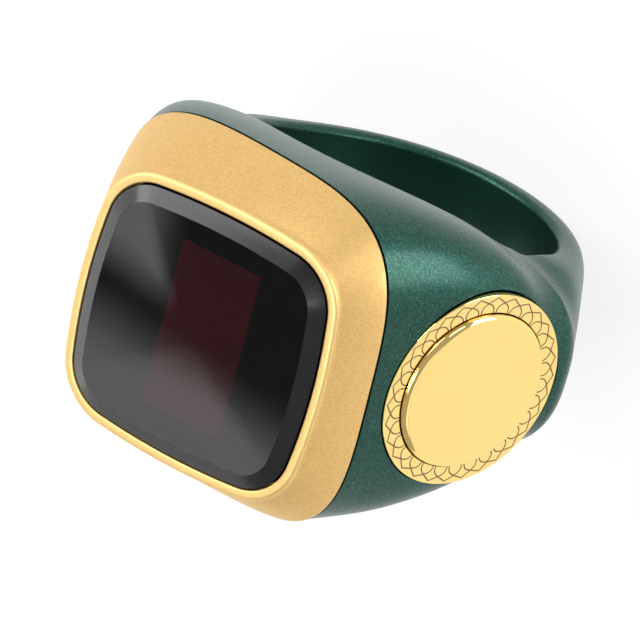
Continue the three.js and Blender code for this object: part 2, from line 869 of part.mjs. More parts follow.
const motorLow = floorHeight + seatGap;
const motorPlate = 0.22;
const motorCupLow = motorLow + motorPlate + seatGap;
const motorTop = motorLow + motorHeight;

function motorCase() {
  const inner = motorRadius - motorWall;
  return turned([
    [inner, motorCupLow],
    [motorRadius, motorCupLow],
    [motorRadius, motorTop - 0.2],
    [motorRadius - 0.2, motorTop],
    [0, motorTop],
    [0, motorTop - motorWall],
    [inner, motorTop - motorWall],
    [inner, motorCupLow],
  ]).translate(motorX, motorY, 0);
}

function motorBase() {
  return disc(motorRadius, motorLow, motorLow + motorPlate, motorX, motorY);
}

function motorShaft() {
  return disc(motorShaftRadius, motorCupLow, motorTop - motorWall - seatGap, motorX, motorY, smallSteps);
}

function motorRotor() {
  const low = motorCupLow + 0.15;
  const hubRadius = 0.95;
  const hub = circle(hubRadius, 0, 0, roundSteps);
  const steps = 20;
  const weight = [];
  for (let i = 0; i <= steps; i++) {
    const angle = (Math.PI * i) / steps;
    weight.push([rotorRadius * Math.cos(angle), rotorRadius * Math.sin(angle)]);
  }
  const body = join(plate(weight, low, low + rotorThickness), plate(hub, low, low + rotorThickness));
  const bore = disc(motorShaftRadius + fitGap, low - 1, low + 2, 0, 0, smallSteps);
  return cut(body, bore).translate(motorX, motorY, 0);
}

// Charging insert that fills a window in the top of the bore

function innerCover() {
  const plugLow = boreRadius - 3;
  const flangeLow = floorHeight + coverSealThickness + 2 * seatGap;
  const body = join(
    plate(
      roundedRectangle(coverFlangeX, coverFlangeWidth / 2, coverFlangeCorner, 0, coverY),
      flangeLow,
      coverTop,
    ),
    block(coverPlugX, coverPlugWidth / 2, plugLow, flangeLow + 0.1, 0, coverY),
  );
  const finger = disc(boreRadius, -boreRadius, boreRadius, 0, 0, 72).rotateX(Math.PI / 2);
  const contactHoles = [-1, 1].map((side) =>
    disc(contactRadius + fitGap, boreRadius / 2, coverTop + 1, side * contactX, coverY, smallSteps),
  );
  const magnetPockets = [-1, 1].map((side) =>
    disc(magnetRadius + fitGap, coverTop - magnetHeight - fitGap, coverTop + 1, side * magnetX, coverY, smallSteps),
  );
  const screwHoles = coverScrews.map(([x, y]) =>
    disc(threadRadius + fitGap, floorHeight - 1, coverTop + 1, x, y, smallSteps),
  );
  return cut(body, finger, ...contactHoles, ...magnetPockets, ...screwHoles);
}

function innerCoverSeal() {
  const low = floorHeight + seatGap;
  const holes = coverScrews.map(([x, y]) => circle(threadRadius + 2 * fitGap, x, y, smallSteps));
  const opening = roundedRectangle(coverPlugX + 2 * fitGap, coverPlugWidth / 2 + 2 * fitGap, 0.2, 0, coverY, 3);
  const outline = roundedRectangle(coverFlangeX, coverFlangeWidth / 2, coverFlangeCorner, 0, coverY);
  return plate(outline, low, low + coverSealThickness, [opening, ...holes]);
}

function chargeContact(side) {
  const low = boreRadius - 0.02;
  const head = coverTop + seatGap;
  return turned(
    [
      [0, low],
      [contactRadius - 0.1, low],
      [contactRadius, low + 0.1],
      [contactRadius, head],
      [0.8, head],
      [0.8, head + 0.25],
      [0.3, head + 0.25],
      [0.3, head + 0.6],
      [0, head + 0.6],
    ],
    smallSteps,
  ).translate(side * contactX, coverY, 0);
}

function chargeMagnet(side) {
  return disc(magnetRadius, coverTop - magnetHeight, coverTop - fitGap, side * magnetX, coverY, smallSteps);
}

// A small pan-head screw with a straight slot, standing with its head's seat at the given height
function screw(seat, length) {
  const top = seat + screwHeadHeight;
  const body = turned(
    [
      [0, seat - length],
      [threadRadius * 0.6, seat - length],
      [threadRadius, seat - length + 0.2],
      [threadRadius, seat],
      [screwHeadRadius, seat],
      [screwHeadRadius, top - 0.12],
      [screwHeadRadius - 0.12, top],
      [0, top],
    ],
    smallSteps,
  );
  return cut(body, block(screwHeadRadius + 0.1, 0.1, top - 0.18, top + 0.2));
}

// Button pieces, in the button's own frame

function trimRing() {
  const inner = capRadius + trimBoreGap;
  const chamfer = 0.06;
  return turned(
    [
      [inner, -trimThickness],
      [trimRadius, -trimThickness],
      [trimRadius, -chamfer],
      [trimRadius - chamfer, 0],
      [inner + chamfer, 0],
      [inner, -chamfer],
      [inner, -trimThickness],
    ],
    trimSteps,
  );
}

function trimSeal() {
  const top = -trimThickness - seatGap;
  const inner = capRadius + trimBoreGap;
  return turned([
    [inner, top - trimSealThickness],
    [trimRadius - 0.1, top - trimSealThickness],
    [trimRadius - 0.1, top],
    [inner, top],
    [inner, top - trimSealThickness],
  ]);
}

function buttonCap() {
  const underside = capProud - capThickness;
  const groove = stemRadius - ringGrooveDepth;
  const grooveHalf = 0.22;
  const clipSeat = guideBottom + seatGap;
  const edge = Array.from({ length: capEdgeSteps + 1 }, (_, i) => {
    const turn = (i / capEdgeSteps) * (Math.PI / 2);
    return [
      capRadius - capEdgeRound * (1 - Math.cos(turn)),
      capProud - capEdgeRound * (1 - Math.sin(turn)),
    ];
  });
  return turned(
    [
      [0, -stemLength],
      [0.9, -stemLength],
      [1, -stemLength + 0.1],
      [1, -clipSeat],
      [stemRadius, -clipSeat],
      [stemRadius, -ringGrooveAt - grooveHalf],
      [groove, -ringGrooveAt - grooveHalf],
      [groove, -ringGrooveAt + grooveHalf],
      [stemRadius, -ringGrooveAt + grooveHalf],
      [stemRadius, underside],
      [capRadius - 0.15, underside],
      [capRadius, underside + 0.15],
      ...edge,
      [0, capProud],
    ],
    capSteps,
  );
}

function buttonGuide() {
  const bore = stemRadius + guideBoreGap;
  const pocket = guideTop + springPocketDepth;
  return turned([
    [bore, -guideBottom],
    [guideRadius, -guideBottom],
    [guideRadius, -guideTop],
    [springPocketRadius, -guideTop],
    [springPocketRadius, -pocket],
    [bore, -pocket],
    [bore, -guideBottom],
  ]);
}

function buttonRing() {
  const tube = (stemRadius + guideBoreGap - (stemRadius - ringGrooveDepth)) / 2 - 0.02;
  const middle = stemRadius - ringGrooveDepth + tube + 0.02;
  return new THREE.TorusGeometry(middle, tube, 6, roundSteps).translate(0, 0, -ringGrooveAt);
}

function buttonClip() {
  const seat = -(guideBottom + 2 * seatGap);
  const points = [];
  const opening = 0.5;
  const steps = 24;
  const arc = (radius, from, to) => {
    for (let i = 0; i <= steps; i++) {
      const angle = from + ((to - from) * i) / steps;
      points.push([radius * Math.cos(angle), radius * Math.sin(angle)]);
    }
  };
  arc(clipRadius, opening, 2 * Math.PI - opening);
  arc(1 + fitGap, 2 * Math.PI - opening, opening);
  return plate(points, seat - clipThickness, seat);
}

class Helix extends THREE.Curve {
  constructor(radius, low, high, turns) {
    super();
    Object.assign(this, { radius, low, high, turns });
  }
  getPoint(share, target = new THREE.Vector3()) {
    const angle = share * this.turns * 2 * Math.PI;
    const z = this.low + (this.high - this.low) * share;
    return target.set(this.radius * Math.cos(angle), this.radius * Math.sin(angle), z);
  }
}

function buttonSpring() {
  const low = -(guideTop + springPocketDepth) + springWire / 2 + seatGap;
  const high = capProud - capThickness - springWire / 2 - seatGap;
  const wire = shapeOf(circle(springWire / 2, 0, 0, 6));
  return new THREE.ExtrudeGeometry(wire, {
    steps: Math.round(springTurns * 16),
    extrudePath: new Helix(springRadius, low, high, springTurns),
    bevelEnabled: false,
  });
}

function tactileSwitch() {
  const well = disc(plungerRadius + fitGap, -switchBottom + 0.1, -switchTop + 1, 0, 0, smallSteps);
  return cut(plate(roundedRectangle(switchSide / 2, switchSide / 2, 0.3), -switchBottom, -switchTop), well);
}

function switchPlunger() {
  return disc(plungerRadius, -plungerTop - plungerLength, -plungerTop, 0, 0, smallSteps);
}

function switchBoard() {
  const top = -switchBottom - seatGap;
  return disc(switchBoardRadius, top - switchBoardThickness, top);
}

function switchFlex() {
  const x = lowerCavityX - switchFlexInset;
  return block(flexThickness / 2, switchFlexHalf, floorHeight - switchFlexDrop, boardHeight - seatGap, x);
}

// The assembly

const counter = new THREE.Group();
counter.add(buttonFrame);

function add(parent, name, geometry, look) {
  const mesh = new THREE.Mesh(geometry, look);
  mesh.name = name;
  parent.add(mesh);
  return mesh;
}

add(counter, "ring_body", ringBody(), greenCoat);
add(counter, "bezel", bezel(), goldBlasted);
add(counter, "bezel_seal", bezelSeal(), blackRubber);
add(counter, "display_glass", displayGlass(), blackGlass);
add(counter, "glass_seal", glassSeal(), blackRubber);
add(counter, "oled_panel", oledPanel(), panelBlack);
add(counter, "display_flex", displayFlex(), flexAmber);
add(counter, "display_cushion", displayCushion(), foamGrey);
add(counter, "display_carrier", displayCarrier(), blackPlastic);
add(counter, "main_board", mainBoard(), boardGreen);
add(counter, "processor_chip", onBoard(processorHalf, processorHalf, processorHeight, processorX, processorY), chipBlack);
add(counter, "power_chip", onBoard(powerChipHalf, powerChipHalf, powerChipHeight, powerChipX, powerChipY), chipBlack);
add(counter, "clock_crystal", onBoard(crystalHalfX, crystalHalfY, crystalHeight, crystalX, crystalY), steel);
add(counter, "antenna", onBoard(antennaHalfX, antennaHalfY, antennaHeight, 0, antennaY), ceramicWhite);
add(counter, "battery", battery(), foilSilver);
add(counter, "battery_pad", batteryPad(), foamGrey);
add(counter, "battery_tab", batteryTab(), flexAmber);
add(counter, "motor_case", motorCase(), steel);
add(counter, "motor_base", motorBase(), steel);
add(counter, "motor_shaft", motorShaft(), steel);
add(counter, "motor_rotor", motorRotor(), steel);
add(counter, "inner_cover", innerCover(), blackPlastic);
add(counter, "inner_cover_seal", innerCoverSeal(), blackRubber);
[-1, 1].forEach((side, i) => {
  add(counter, `charge_contact_${i + 1}`, chargeContact(side), goldPolished);
  add(counter, `charge_magnet_${i + 1}`, chargeMagnet(side), steel);
});
boardScrews.forEach(([x, y], i) => {
  add(counter, `board_screw_${i + 1}`, screw(boardTop + seatGap, boardScrewLength + boardThickness), steel).position.set(x, y, 0);
});
coverScrews.forEach(([x, y], i) => {
  add(counter, `cover_screw_${i + 1}`, screw(coverTop + seatGap, coverScrewLength + coverTop - floorHeight), steel).position.set(x, y, 0);
});
add(counter, "switch_flex", switchFlex(), flexAmber);

add(buttonFrame, "trim_ring", trimRing(), goldPolished);
add(buttonFrame, "trim_seal", trimSeal(), blackRubber);
add(buttonFrame, "button_cap", buttonCap(), goldPolished);
add(buttonFrame, "button_guide", buttonGuide(), blackPlastic);
add(buttonFrame, "button_o_ring", buttonRing(), blackRubber);
add(buttonFrame, "button_clip", buttonClip(), steel);
add(buttonFrame, "button_spring", buttonSpring(), steel);
add(buttonFrame, "tactile_switch", tactileSwitch(), steel);
add(buttonFrame, "switch_plunger", switchPlunger(), blackPlastic);
add(buttonFrame, "switch_board", switchBoard(), boardGreen);

export default counter;
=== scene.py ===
"""Looks of a digital finger counter built like a signet ring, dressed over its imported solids."""

import json
import logging
import math
from collections.abc import Callable, Iterable, Sequence
from dataclasses import dataclass, field
from enum import Enum

import bmesh
import bpy
import numpy as np
from mathutils import Matrix, Vector


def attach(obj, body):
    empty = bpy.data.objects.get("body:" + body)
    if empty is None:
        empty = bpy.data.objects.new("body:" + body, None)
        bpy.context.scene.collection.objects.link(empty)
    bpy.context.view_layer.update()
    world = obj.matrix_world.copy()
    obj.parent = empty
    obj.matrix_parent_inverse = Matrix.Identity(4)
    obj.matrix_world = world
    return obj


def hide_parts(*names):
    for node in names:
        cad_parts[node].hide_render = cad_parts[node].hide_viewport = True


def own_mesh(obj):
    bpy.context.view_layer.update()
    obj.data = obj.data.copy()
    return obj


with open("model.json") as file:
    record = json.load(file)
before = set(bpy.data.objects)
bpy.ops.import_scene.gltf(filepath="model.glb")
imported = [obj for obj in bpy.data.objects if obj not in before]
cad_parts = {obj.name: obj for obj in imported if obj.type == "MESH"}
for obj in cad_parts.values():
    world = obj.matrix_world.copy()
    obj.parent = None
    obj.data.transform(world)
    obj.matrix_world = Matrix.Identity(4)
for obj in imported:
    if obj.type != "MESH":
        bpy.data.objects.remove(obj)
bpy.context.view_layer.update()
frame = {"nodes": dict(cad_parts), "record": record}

MILLIMETRE = 0.001
SLIVER = 0.0002 * MILLIMETRE
TINY_ANGLE = 1e-12
CLOUD_EDGES = (0.35, 0.65)
SOFT_CLOUD_EDGES = (0.3, 0.7)
NO_GLOSS = 0.02
EDGE_MIDDLE = 0.3
CIRCLE_STEPS = 240
SMALL_CORNER_STEPS = 3
Point = tuple[float, float, float]
Colour = tuple[float, float, float]
Outline = list[tuple[float, float]]

log = logging.getLogger("finger_counter")


class Body(Enum):
    """The bodies that the dressed pieces ride on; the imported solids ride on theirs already."""

    HOUSING = "housing"
    BUTTON = "button"


class Slot(Enum):
    """The record's material slots."""

    GREEN_COAT = "green_coat"
    GOLD_BLASTED = "gold_blasted"
    GOLD_POLISHED = "gold_polished"
    BLACK_GLASS = "black_glass"
    BLACK_PLASTIC = "black_plastic"
    BLACK_RUBBER = "black_rubber"
    BOARD_GREEN = "board_green"
    STEEL = "steel"
    FOIL_SILVER = "foil_silver"
    PANEL_BLACK = "panel_black"
    FLEX_AMBER = "flex_amber"
    CHIP_BLACK = "chip_black"
    CERAMIC_WHITE = "ceramic_white"
    FOAM_GREY = "foam_grey"


class FinishSheet:
    """The node tree of one finish, filled in step by step."""

    def __init__(self, title: str) -> None:
        """Starts an empty sheet.

        Args:
            title: Name of the material.
        """
        self.material = bpy.data.materials.new(title)
        self.material.use_nodes = True
        self.tree = self.material.node_tree
        self.tree.nodes.clear()
        self.shader = self.tree.nodes.new("ShaderNodeBsdfPrincipled")
        output = self.tree.nodes.new("ShaderNodeOutputMaterial")
        self.tree.links.new(self.shader.outputs["BSDF"], output.inputs["Surface"])
        self.place = self.tree.nodes.new("ShaderNodeTexCoord").outputs["Object"]

    def add(self, kind: str, **settings: object) -> bpy.types.Node:
        """Adds a node.

        Args:
            kind: Blender's name of the node.
            **settings: Node properties, set by name.

        Returns:
            The new node.
        """
        node = self.tree.nodes.new(kind)
        for name, value in settings.items():
            setattr(node, name, value)
        return node

    def join(self, source: bpy.types.NodeSocket, target: bpy.types.NodeSocket) -> None:
        """Links two sockets."""
        self.tree.links.new(source, target)

    def noise(self, size_mm: float, detail: float = 3.0) -> bpy.types.NodeSocket:
        """Adds cloudy noise.

        Args:
            size_mm: Size of one cloud in millimetres.
            detail: Number of finer layers.

        Returns:
            Its value from 0 to 1.
        """
        node = self.add("ShaderNodeTexNoise")
        node.inputs["Scale"].default_value = 1.0 / (size_mm * MILLIMETRE)
        node.inputs["Detail"].default_value = detail
        self.join(self.place, node.inputs["Vector"])
        return node.outputs["Fac"]

    def cells(self, size_mm: float, stretch: Point = (1.0, 1.0, 1.0)) -> bpy.types.Node:
        """Adds a field of cells, each with its own random colour.

        Args:
            size_mm: Size of one cell in millimetres.
            stretch: How much finer the cells are along each axis.

        Returns:
            The cell node.
        """
        mapping = self.add("ShaderNodeMapping")
        mapping.inputs["Scale"].default_value = stretch
        self.join(self.place, mapping.inputs["Vector"])
        node = self.add("ShaderNodeTexVoronoi")
        node.inputs["Scale"].default_value = 1.0 / (size_mm * MILLIMETRE)
        self.join(mapping.outputs["Vector"], node.inputs["Vector"])
        return node

    def chips(self, size_mm: float) -> bpy.types.Node:
        """Adds cells and returns the node that gives each one three random values."""
        cells = self.cells(size_mm)
        split = self.add("ShaderNodeSeparateColor")
        self.join(cells.outputs["Color"], split.inputs["Color"])
        return split

    def spread(self, value: bpy.types.NodeSocket, low: float, high: float) -> bpy.types.NodeSocket:
        """Maps a value of 0 to 1 onto a range.

        Args:
            value: The value.
            low: What 0 becomes.
            high: What 1 becomes.

        Returns:
            The mapped value.
        """
        return self.window(value, 0.0, 1.0, low, high)

    def window(
        self, value: bpy.types.NodeSocket, start: float, end: float, low: float = 0.0, high: float = 1.0
    ) -> bpy.types.NodeSocket:
        """Maps one stretch of a value onto a range and clamps the rest.

        Args:
            value: The value.
            start: Value that becomes low.
            end: Value that becomes high.
            low: Lowest result.
            high: Highest result.

        Returns:
            The mapped value.
        """
        node = self.add("ShaderNodeMapRange", clamp=True)
        node.inputs["From Min"].default_value = start
        node.inputs["From Max"].default_value = end
        node.inputs["To Min"].default_value = low
        node.inputs["To Max"].default_value = high
        self.join(value, node.inputs["Value"])
        return node.outputs["Result"]

    def blend(
        self, share: bpy.types.NodeSocket, first: Colour | bpy.types.NodeSocket, second: Colour
    ) -> bpy.types.NodeSocket:
        """Mixes two colours.

        Args:
            share: 0 for the first colour, 1 for the second.
            first: A colour, or a socket that gives one.
            second: The other colour.

        Returns:
            The mixed colour.
        """
        node = self.add("ShaderNodeMix", data_type="RGBA")
        self.join(share, node.inputs[0])
        if isinstance(first, tuple):
            node.inputs[6].default_value = (*first, 1.0)
        else:
            self.join(first, node.inputs[6])
        node.inputs[7].default_value = (*second, 1.0)
        return node.outputs[2]

    def bump(
        self, height: bpy.types.NodeSocket, depth_mm: float, below: bpy.types.NodeSocket | None = None
    ) -> bpy.types.NodeSocket:
        """Raises the surface by a height value.

        Args:
            height: The height from 0 to 1.
            depth_mm: Height of the relief in millimetres.
            below: Normal of a coarser relief under this one.

        Returns:
            The new normal.
        """
        node = self.add("ShaderNodeBump")
        node.inputs["Distance"].default_value = depth_mm * MILLIMETRE
        self.join(height, node.inputs["Height"])
        if below is not None:
            self.join(below, node.inputs["Normal"])
        return node.outputs["Normal"]

    def set(self, **values: float | Colour | bpy.types.NodeSocket) -> None:
        """Sets or links shader inputs.

        Args:
            **values: Input names in lower case with underscores, with a number, a colour or a socket.
        """
        for name, value in values.items():
            socket = self.shader.inputs[name.replace("_", " ").title().replace("Ior", "IOR")]
            if isinstance(value, bpy.types.NodeSocket):
                self.join(value, socket)
            elif isinstance(value, tuple):
                socket.default_value = (*value, 1.0)
            else:
                socket.default_value = value


@dataclass(frozen=True)
class Finish:
    """A surface finish: two close shades, gloss, and the grain that its making leaves."""

    title: str
    shade: Colour
    other_shade: Colour
    metallic: float = 0.0
    gloss: tuple[float, float] = (0.4, 0.5)
    cloud_mm: float = 2.0
    grain_mm: float = 0.1
    grain_depth_mm: float = 0.002

    def material(self) -> bpy.types.Material:
        """Returns the finish's material, made on first use."""
        known = bpy.data.materials.get(self.title)
        if known is not None:
            return known
        sheet = FinishSheet(self.title)
        cloud = sheet.noise(self.cloud_mm)
        sheet.set(
            base_color=sheet.blend(sheet.window(cloud, *CLOUD_EDGES), self.shade, self.other_shade),
            roughness=sheet.window(cloud, *SOFT_CLOUD_EDGES, *self.gloss),
            metallic=self.metallic,
            normal=sheet.bump(sheet.noise(self.grain_mm, 2.0), self.grain_depth_mm),
        )
        self.detail(sheet)
        return sheet.material

    def mottled(self, sheet: FinishSheet) -> bpy.types.NodeSocket:
        """Returns the two shades, mixed in soft clouds."""
        cloud = sheet.noise(self.cloud_mm)
        return sheet.blend(sheet.window(cloud, *SOFT_CLOUD_EDGES), self.shade, self.other_shade)

    def detail(self, sheet: FinishSheet) -> None:
        """Adds what is special to the finish; the plain one has nothing more."""


@dataclass(frozen=True)
class FlakeCoat(Finish):
    """Satin metallic coat with fine glittering flakes under a thin clear layer."""

    flake: Colour = (0.035, 0.15, 0.11)
    flake_mm: float = 0.06
    flake_tilt: float = 0.07
    flake_start: float = 0.70
    coat: float = 0.20
    coat_roughness: float = 0.22
    peel_mm: float = 0.45
    peel_depth_mm: float = 0.0035

    def detail(self, sheet: FinishSheet) -> None:
        """Lays the flakes and the peel of the clear layer over the base.

        Args:
            sheet: The finish's node sheet.
        """
        split = sheet.chips(self.flake_mm)
        base = self.mottled(sheet)
        lit = sheet.window(split.outputs["Red"], self.flake_start, 1.0)
        peel = sheet.bump(sheet.noise(self.peel_mm, 2.0), self.peel_depth_mm)
        tilted = sheet.bump(split.outputs["Green"], self.flake_mm * self.flake_tilt, peel)
        sheet.set(
            base_color=sheet.blend(lit, base, self.flake),
            roughness=sheet.spread(split.outputs["Blue"], *self.gloss),
            normal=tilted,
            coat_weight=self.coat,
            coat_roughness=self.coat_roughness,
            coat_normal=peel,
        )


@dataclass(frozen=True)
class BlastedPlate(Finish):
    """Gold plate over a sand-blasted surface: each grain catches the light its own way, and darker cells
    paint shade into the pits.
    """

    # Darker gold laid on random cells: painted shade in the blast pits.
    pit_painted_shade: Colour = (0.50, 0.30, 0.10)
    pit_mm: float = 0.09
    pit_share: float = 0.30
    pit_start: float = 0.3

    def detail(self, sheet: FinishSheet) -> None:
        """Adds the blasted pits, with darker cells of painted shade in them.

        Args:
            sheet: The finish's node sheet.
        """
        split = sheet.chips(self.pit_mm)
        base = self.mottled(sheet)
        # Share of painted pit shade in each random cell.
        pit_shade_mask = sheet.window(split.outputs["Red"], self.pit_start, 1.0, 0.0, self.pit_share)
        coarse = sheet.bump(split.outputs["Green"], self.grain_depth_mm)
        sheet.set(
            base_color=sheet.blend(pit_shade_mask, base, self.pit_painted_shade),
            normal=sheet.bump(sheet.noise(self.grain_mm, 3.0), self.grain_depth_mm, coarse),
        )


@dataclass(frozen=True)
class ClearGlass(Finish):
    """Display glass, clear to its printed underside."""

    def detail(self, sheet: FinishSheet) -> None:
        """Makes the finish transparent.

        Args:
            sheet: The finish's node sheet.
        """
        sheet.set(transmission_weight=1.0, ior=1.5)


@dataclass(frozen=True)
class UnderPrint(Finish):
    """Ink bonded to the underside of the glass, with no gloss of its own."""

    def detail(self, sheet: FinishSheet) -> None:
        """Takes the gloss off.

        Args:
            sheet: The finish's node sheet.
        """
        sheet.set(specular_ior_level=NO_GLOSS)


@dataclass(frozen=True)
class PixelWindow(Finish):
    """Unlit display window: faint rows of dots under the glass."""

    dot_mm: float = 0.174
    gap_share: float = 0.06

    def detail(self, sheet: FinishSheet) -> None:
        """Draws the grid of dots.

        Args:
            sheet: The finish's node sheet.
        """
        spot = sheet.add("ShaderNodeTexBrick", offset=0.0, squash=1.0)
        spot.inputs["Scale"].default_value = 1.0 / (self.dot_mm * MILLIMETRE)
        spot.inputs["Brick Width"].default_value = 1.0
        spot.inputs["Row Height"].default_value = 1.0
        spot.inputs["Mortar Size"].default_value = self.gap_share
        spot.inputs["Color1"].default_value = (*self.shade, 1.0)
        spot.inputs["Color2"].default_value = (*self.shade, 1.0)
        spot.inputs["Mortar"].default_value = (*self.other_shade, 1.0)
        sheet.join(sheet.place, spot.inputs["Vector"])
        sheet.set(base_color=spot.outputs["Color"], specular_ior_level=NO_GLOSS)


@dataclass(frozen=True)
class BoardMask(Finish):
    """Green solder mask with copper tracks that show through it."""

    track: Colour = (0.08, 0.30, 0.14)
    track_mm: float = 1.3
    track_edge: tuple[float, float] = (0.04, 0.07)
    coat: float = 0.5

    def detail(self, sheet: FinishSheet) -> None:
        """Draws the tracks.

        Args:
            sheet: The finish's node sheet.
        """
        tracks = sheet.cells(self.track_mm)
        tracks.feature = "DISTANCE_TO_EDGE"
        line = sheet.window(tracks.outputs["Distance"], *self.track_edge, 1.0, 0.0)
        base = self.mottled(sheet)
        sheet.set(
            base_color=sheet.blend(line, base, self.track),
            normal=sheet.bump(line, self.grain_depth_mm),
            coat_weight=self.coat,
        )


@dataclass(frozen=True)
class CreasedFoil(Finish):
    """Laminated foil with soft creases."""

    crease_mm: float = 1.6
    crease_depth_mm: float = 0.05

    def detail(self, sheet: FinishSheet) -> None:
        """Adds the creases.

        Args:
            sheet: The finish's node sheet.
        """
        folds = sheet.cells(self.crease_mm)
        folds.feature = "DISTANCE_TO_EDGE"
        soft = sheet.bump(sheet.noise(self.crease_mm), self.crease_depth_mm)
        sheet.set(normal=sheet.bump(folds.outputs["Distance"], self.crease_depth_mm, soft))


@dataclass(frozen=True)
class DrawnSteel(Finish):
    """Steel with the fine lines of drawing and turning."""

    line_mm: float = 0.05
    line_stretch: Point = (0.05, 0.05, 1.0)

    def detail(self, sheet: FinishSheet) -> None:
        """Adds the drawing lines.

        Args:
            sheet: The finish's node sheet.
        """
        lines = sheet.cells(self.line_mm, self.line_stretch)
        sheet.set(normal=sheet.bump(lines.outputs["Distance"], self.grain_depth_mm))


GREEN_COAT = FlakeCoat(
    "green flake coat",
    (0.009, 0.052, 0.038),
    (0.011, 0.060, 0.045),
    metallic=0.85,
    gloss=(0.30, 0.42),
    cloud_mm=3.0,
)
BORE_COAT = FlakeCoat(
    "green bore coat",
    (0.010, 0.055, 0.040),
    (0.012, 0.062, 0.046),
    metallic=0.8,
    gloss=(0.32, 0.42),
    cloud_mm=4.0,
    flake=(0.014, 0.070, 0.052),
    flake_tilt=0.02,
)
BLASTED_GOLD = BlastedPlate(
    "blasted gold plate",
    (0.84, 0.56, 0.215),
    (0.83, 0.55, 0.21),
    metallic=0.95,
    gloss=(0.48, 0.52),
    cloud_mm=2.5,
    grain_mm=0.08,
    grain_depth_mm=0.007,
)
# Brighter copy of the blasted gold for the lip: a painted highlight where the lip catches the light.
LIP_GOLD_PAINTED_HIGHLIGHT = BlastedPlate(
    "blasted gold lip with painted highlight",
    (0.95, 0.66, 0.265),
    (0.93, 0.64, 0.255),
    metallic=0.95,
    gloss=(0.44, 0.50),
    cloud_mm=2.5,
    grain_mm=0.10,
    grain_depth_mm=0.008,
    pit_painted_shade=(0.78, 0.50, 0.18),
)
POLISHED_GOLD = Finish(
    "polished gold plate",
    (0.98, 0.73, 0.27),
    (0.97, 0.71, 0.255),
    metallic=1.0,
    gloss=(0.03, 0.06),
    cloud_mm=6.0,
    grain_mm=1.5,
    grain_depth_mm=0.0004,
)
# Dark brown, not metallic, on the engraved groove walls: painted shade in the grooves of the polished gold.
ENGRAVED_GROOVE_SHADE = Finish(
    "engraved line with painted shade",
    (0.205, 0.110, 0.045),
    (0.180, 0.095, 0.038),
    gloss=(0.7, 0.8),
    cloud_mm=0.4,
    grain_mm=0.05,
    grain_depth_mm=0.002,
)
CLEAR_GLASS = ClearGlass(
    "clear display glass",
    (0.99, 0.99, 0.99),
    (0.97, 0.97, 0.98),
    gloss=(0.02, 0.03),
    cloud_mm=5.0,
    grain_mm=4.0,
    grain_depth_mm=0.0002,
)
GROUND_BEVEL = Finish(
    "fine ground bevel backed with black",
    (0.004, 0.004, 0.005),
    (0.006, 0.006, 0.007),
    gloss=(0.17, 0.20),
    cloud_mm=3.0,
    grain_mm=4.0,
    grain_depth_mm=0.0002,
)
BLACK_PRINT = UnderPrint(
    "black print under glass",
    (0.003, 0.003, 0.0035),
    (0.004, 0.004, 0.0045),
    gloss=(0.5, 0.65),
    grain_mm=0.1,
    grain_depth_mm=0.0005,
)
DISPLAY_WINDOW = PixelWindow(
    "unlit display window",
    (0.042, 0.005, 0.008),
    (0.028, 0.003, 0.006),
    gloss=(0.5, 0.6),
)
BLACK_PLASTIC = Finish(
    "moulded black plastic",
    (0.013, 0.013, 0.015),
    (0.018, 0.018, 0.020),
    gloss=(0.42, 0.55),
    grain_mm=0.12,
    grain_depth_mm=0.003,
)
BLACK_RUBBER = Finish(
    "sealing rubber",
    (0.010, 0.010, 0.010),
    (0.016, 0.016, 0.016),
    gloss=(0.7, 0.85),
    grain_mm=0.2,
    grain_depth_mm=0.004,
)
BOARD_GREEN = BoardMask(
    "solder mask",
    (0.010, 0.075, 0.040),
    (0.014, 0.090, 0.050),
    gloss=(0.25, 0.35),
    grain_depth_mm=0.03,
)
PLAIN_STEEL = DrawnSteel(
    "drawn steel",
    (0.56, 0.57, 0.59),
    (0.50, 0.51, 0.53),
    metallic=1.0,
    gloss=(0.22, 0.34),
    grain_depth_mm=0.002,
)
CELL_FOIL = CreasedFoil(
    "cell foil",
    (0.52, 0.53, 0.56),
    (0.47, 0.48, 0.51),
    metallic=0.9,
    gloss=(0.28, 0.4),
)
PANEL_BLACK = Finish(
    "display panel",
    (0.012, 0.005, 0.006),
    (0.018, 0.007, 0.009),
    gloss=(0.1, 0.16),
    grain_mm=2.0,
    grain_depth_mm=0.0005,
)
FLEX_AMBER = Finish(
    "amber film",
    (0.38, 0.14, 0.02),
    (0.30, 0.10, 0.015),
    gloss=(0.22, 0.32),
    grain_mm=0.4,
    grain_depth_mm=0.004,
)
CHIP_BLACK = Finish(
    "chip package",
    (0.012, 0.012, 0.013),
    (0.020, 0.020, 0.021),
    gloss=(0.5, 0.62),
    grain_mm=0.06,
    grain_depth_mm=0.002,
)
CERAMIC_WHITE = Finish(
    "fired ceramic",
    (0.70, 0.67, 0.60),
    (0.64, 0.61, 0.54),
    gloss=(0.45, 0.55),
    grain_mm=0.08,
    grain_depth_mm=0.002,
)
FOAM_GREY = Finish(
    "closed cell foam",
    (0.055, 0.055, 0.062),
    (0.080, 0.080, 0.088),
    gloss=(0.85, 0.95),
    grain_mm=0.15,
    grain_depth_mm=0.03,
)

SLOT_FINISH: dict[Slot, Finish] = {
    Slot.GREEN_COAT: GREEN_COAT,
    Slot.GOLD_BLASTED: BLASTED_GOLD,
    Slot.GOLD_POLISHED: POLISHED_GOLD,
    Slot.BLACK_GLASS: BLACK_PRINT,
    Slot.BLACK_PLASTIC: BLACK_PLASTIC,
    Slot.BLACK_RUBBER: BLACK_RUBBER,
    Slot.BOARD_GREEN: BOARD_GREEN,
    Slot.STEEL: PLAIN_STEEL,
    Slot.FOIL_SILVER: CELL_FOIL,
    Slot.PANEL_BLACK: PANEL_BLACK,
    Slot.FLEX_AMBER: FLEX_AMBER,
    Slot.CHIP_BLACK: CHIP_BLACK,
    Slot.CERAMIC_WHITE: CERAMIC_WHITE,
    Slot.FOAM_GREY: FOAM_GREY,
}


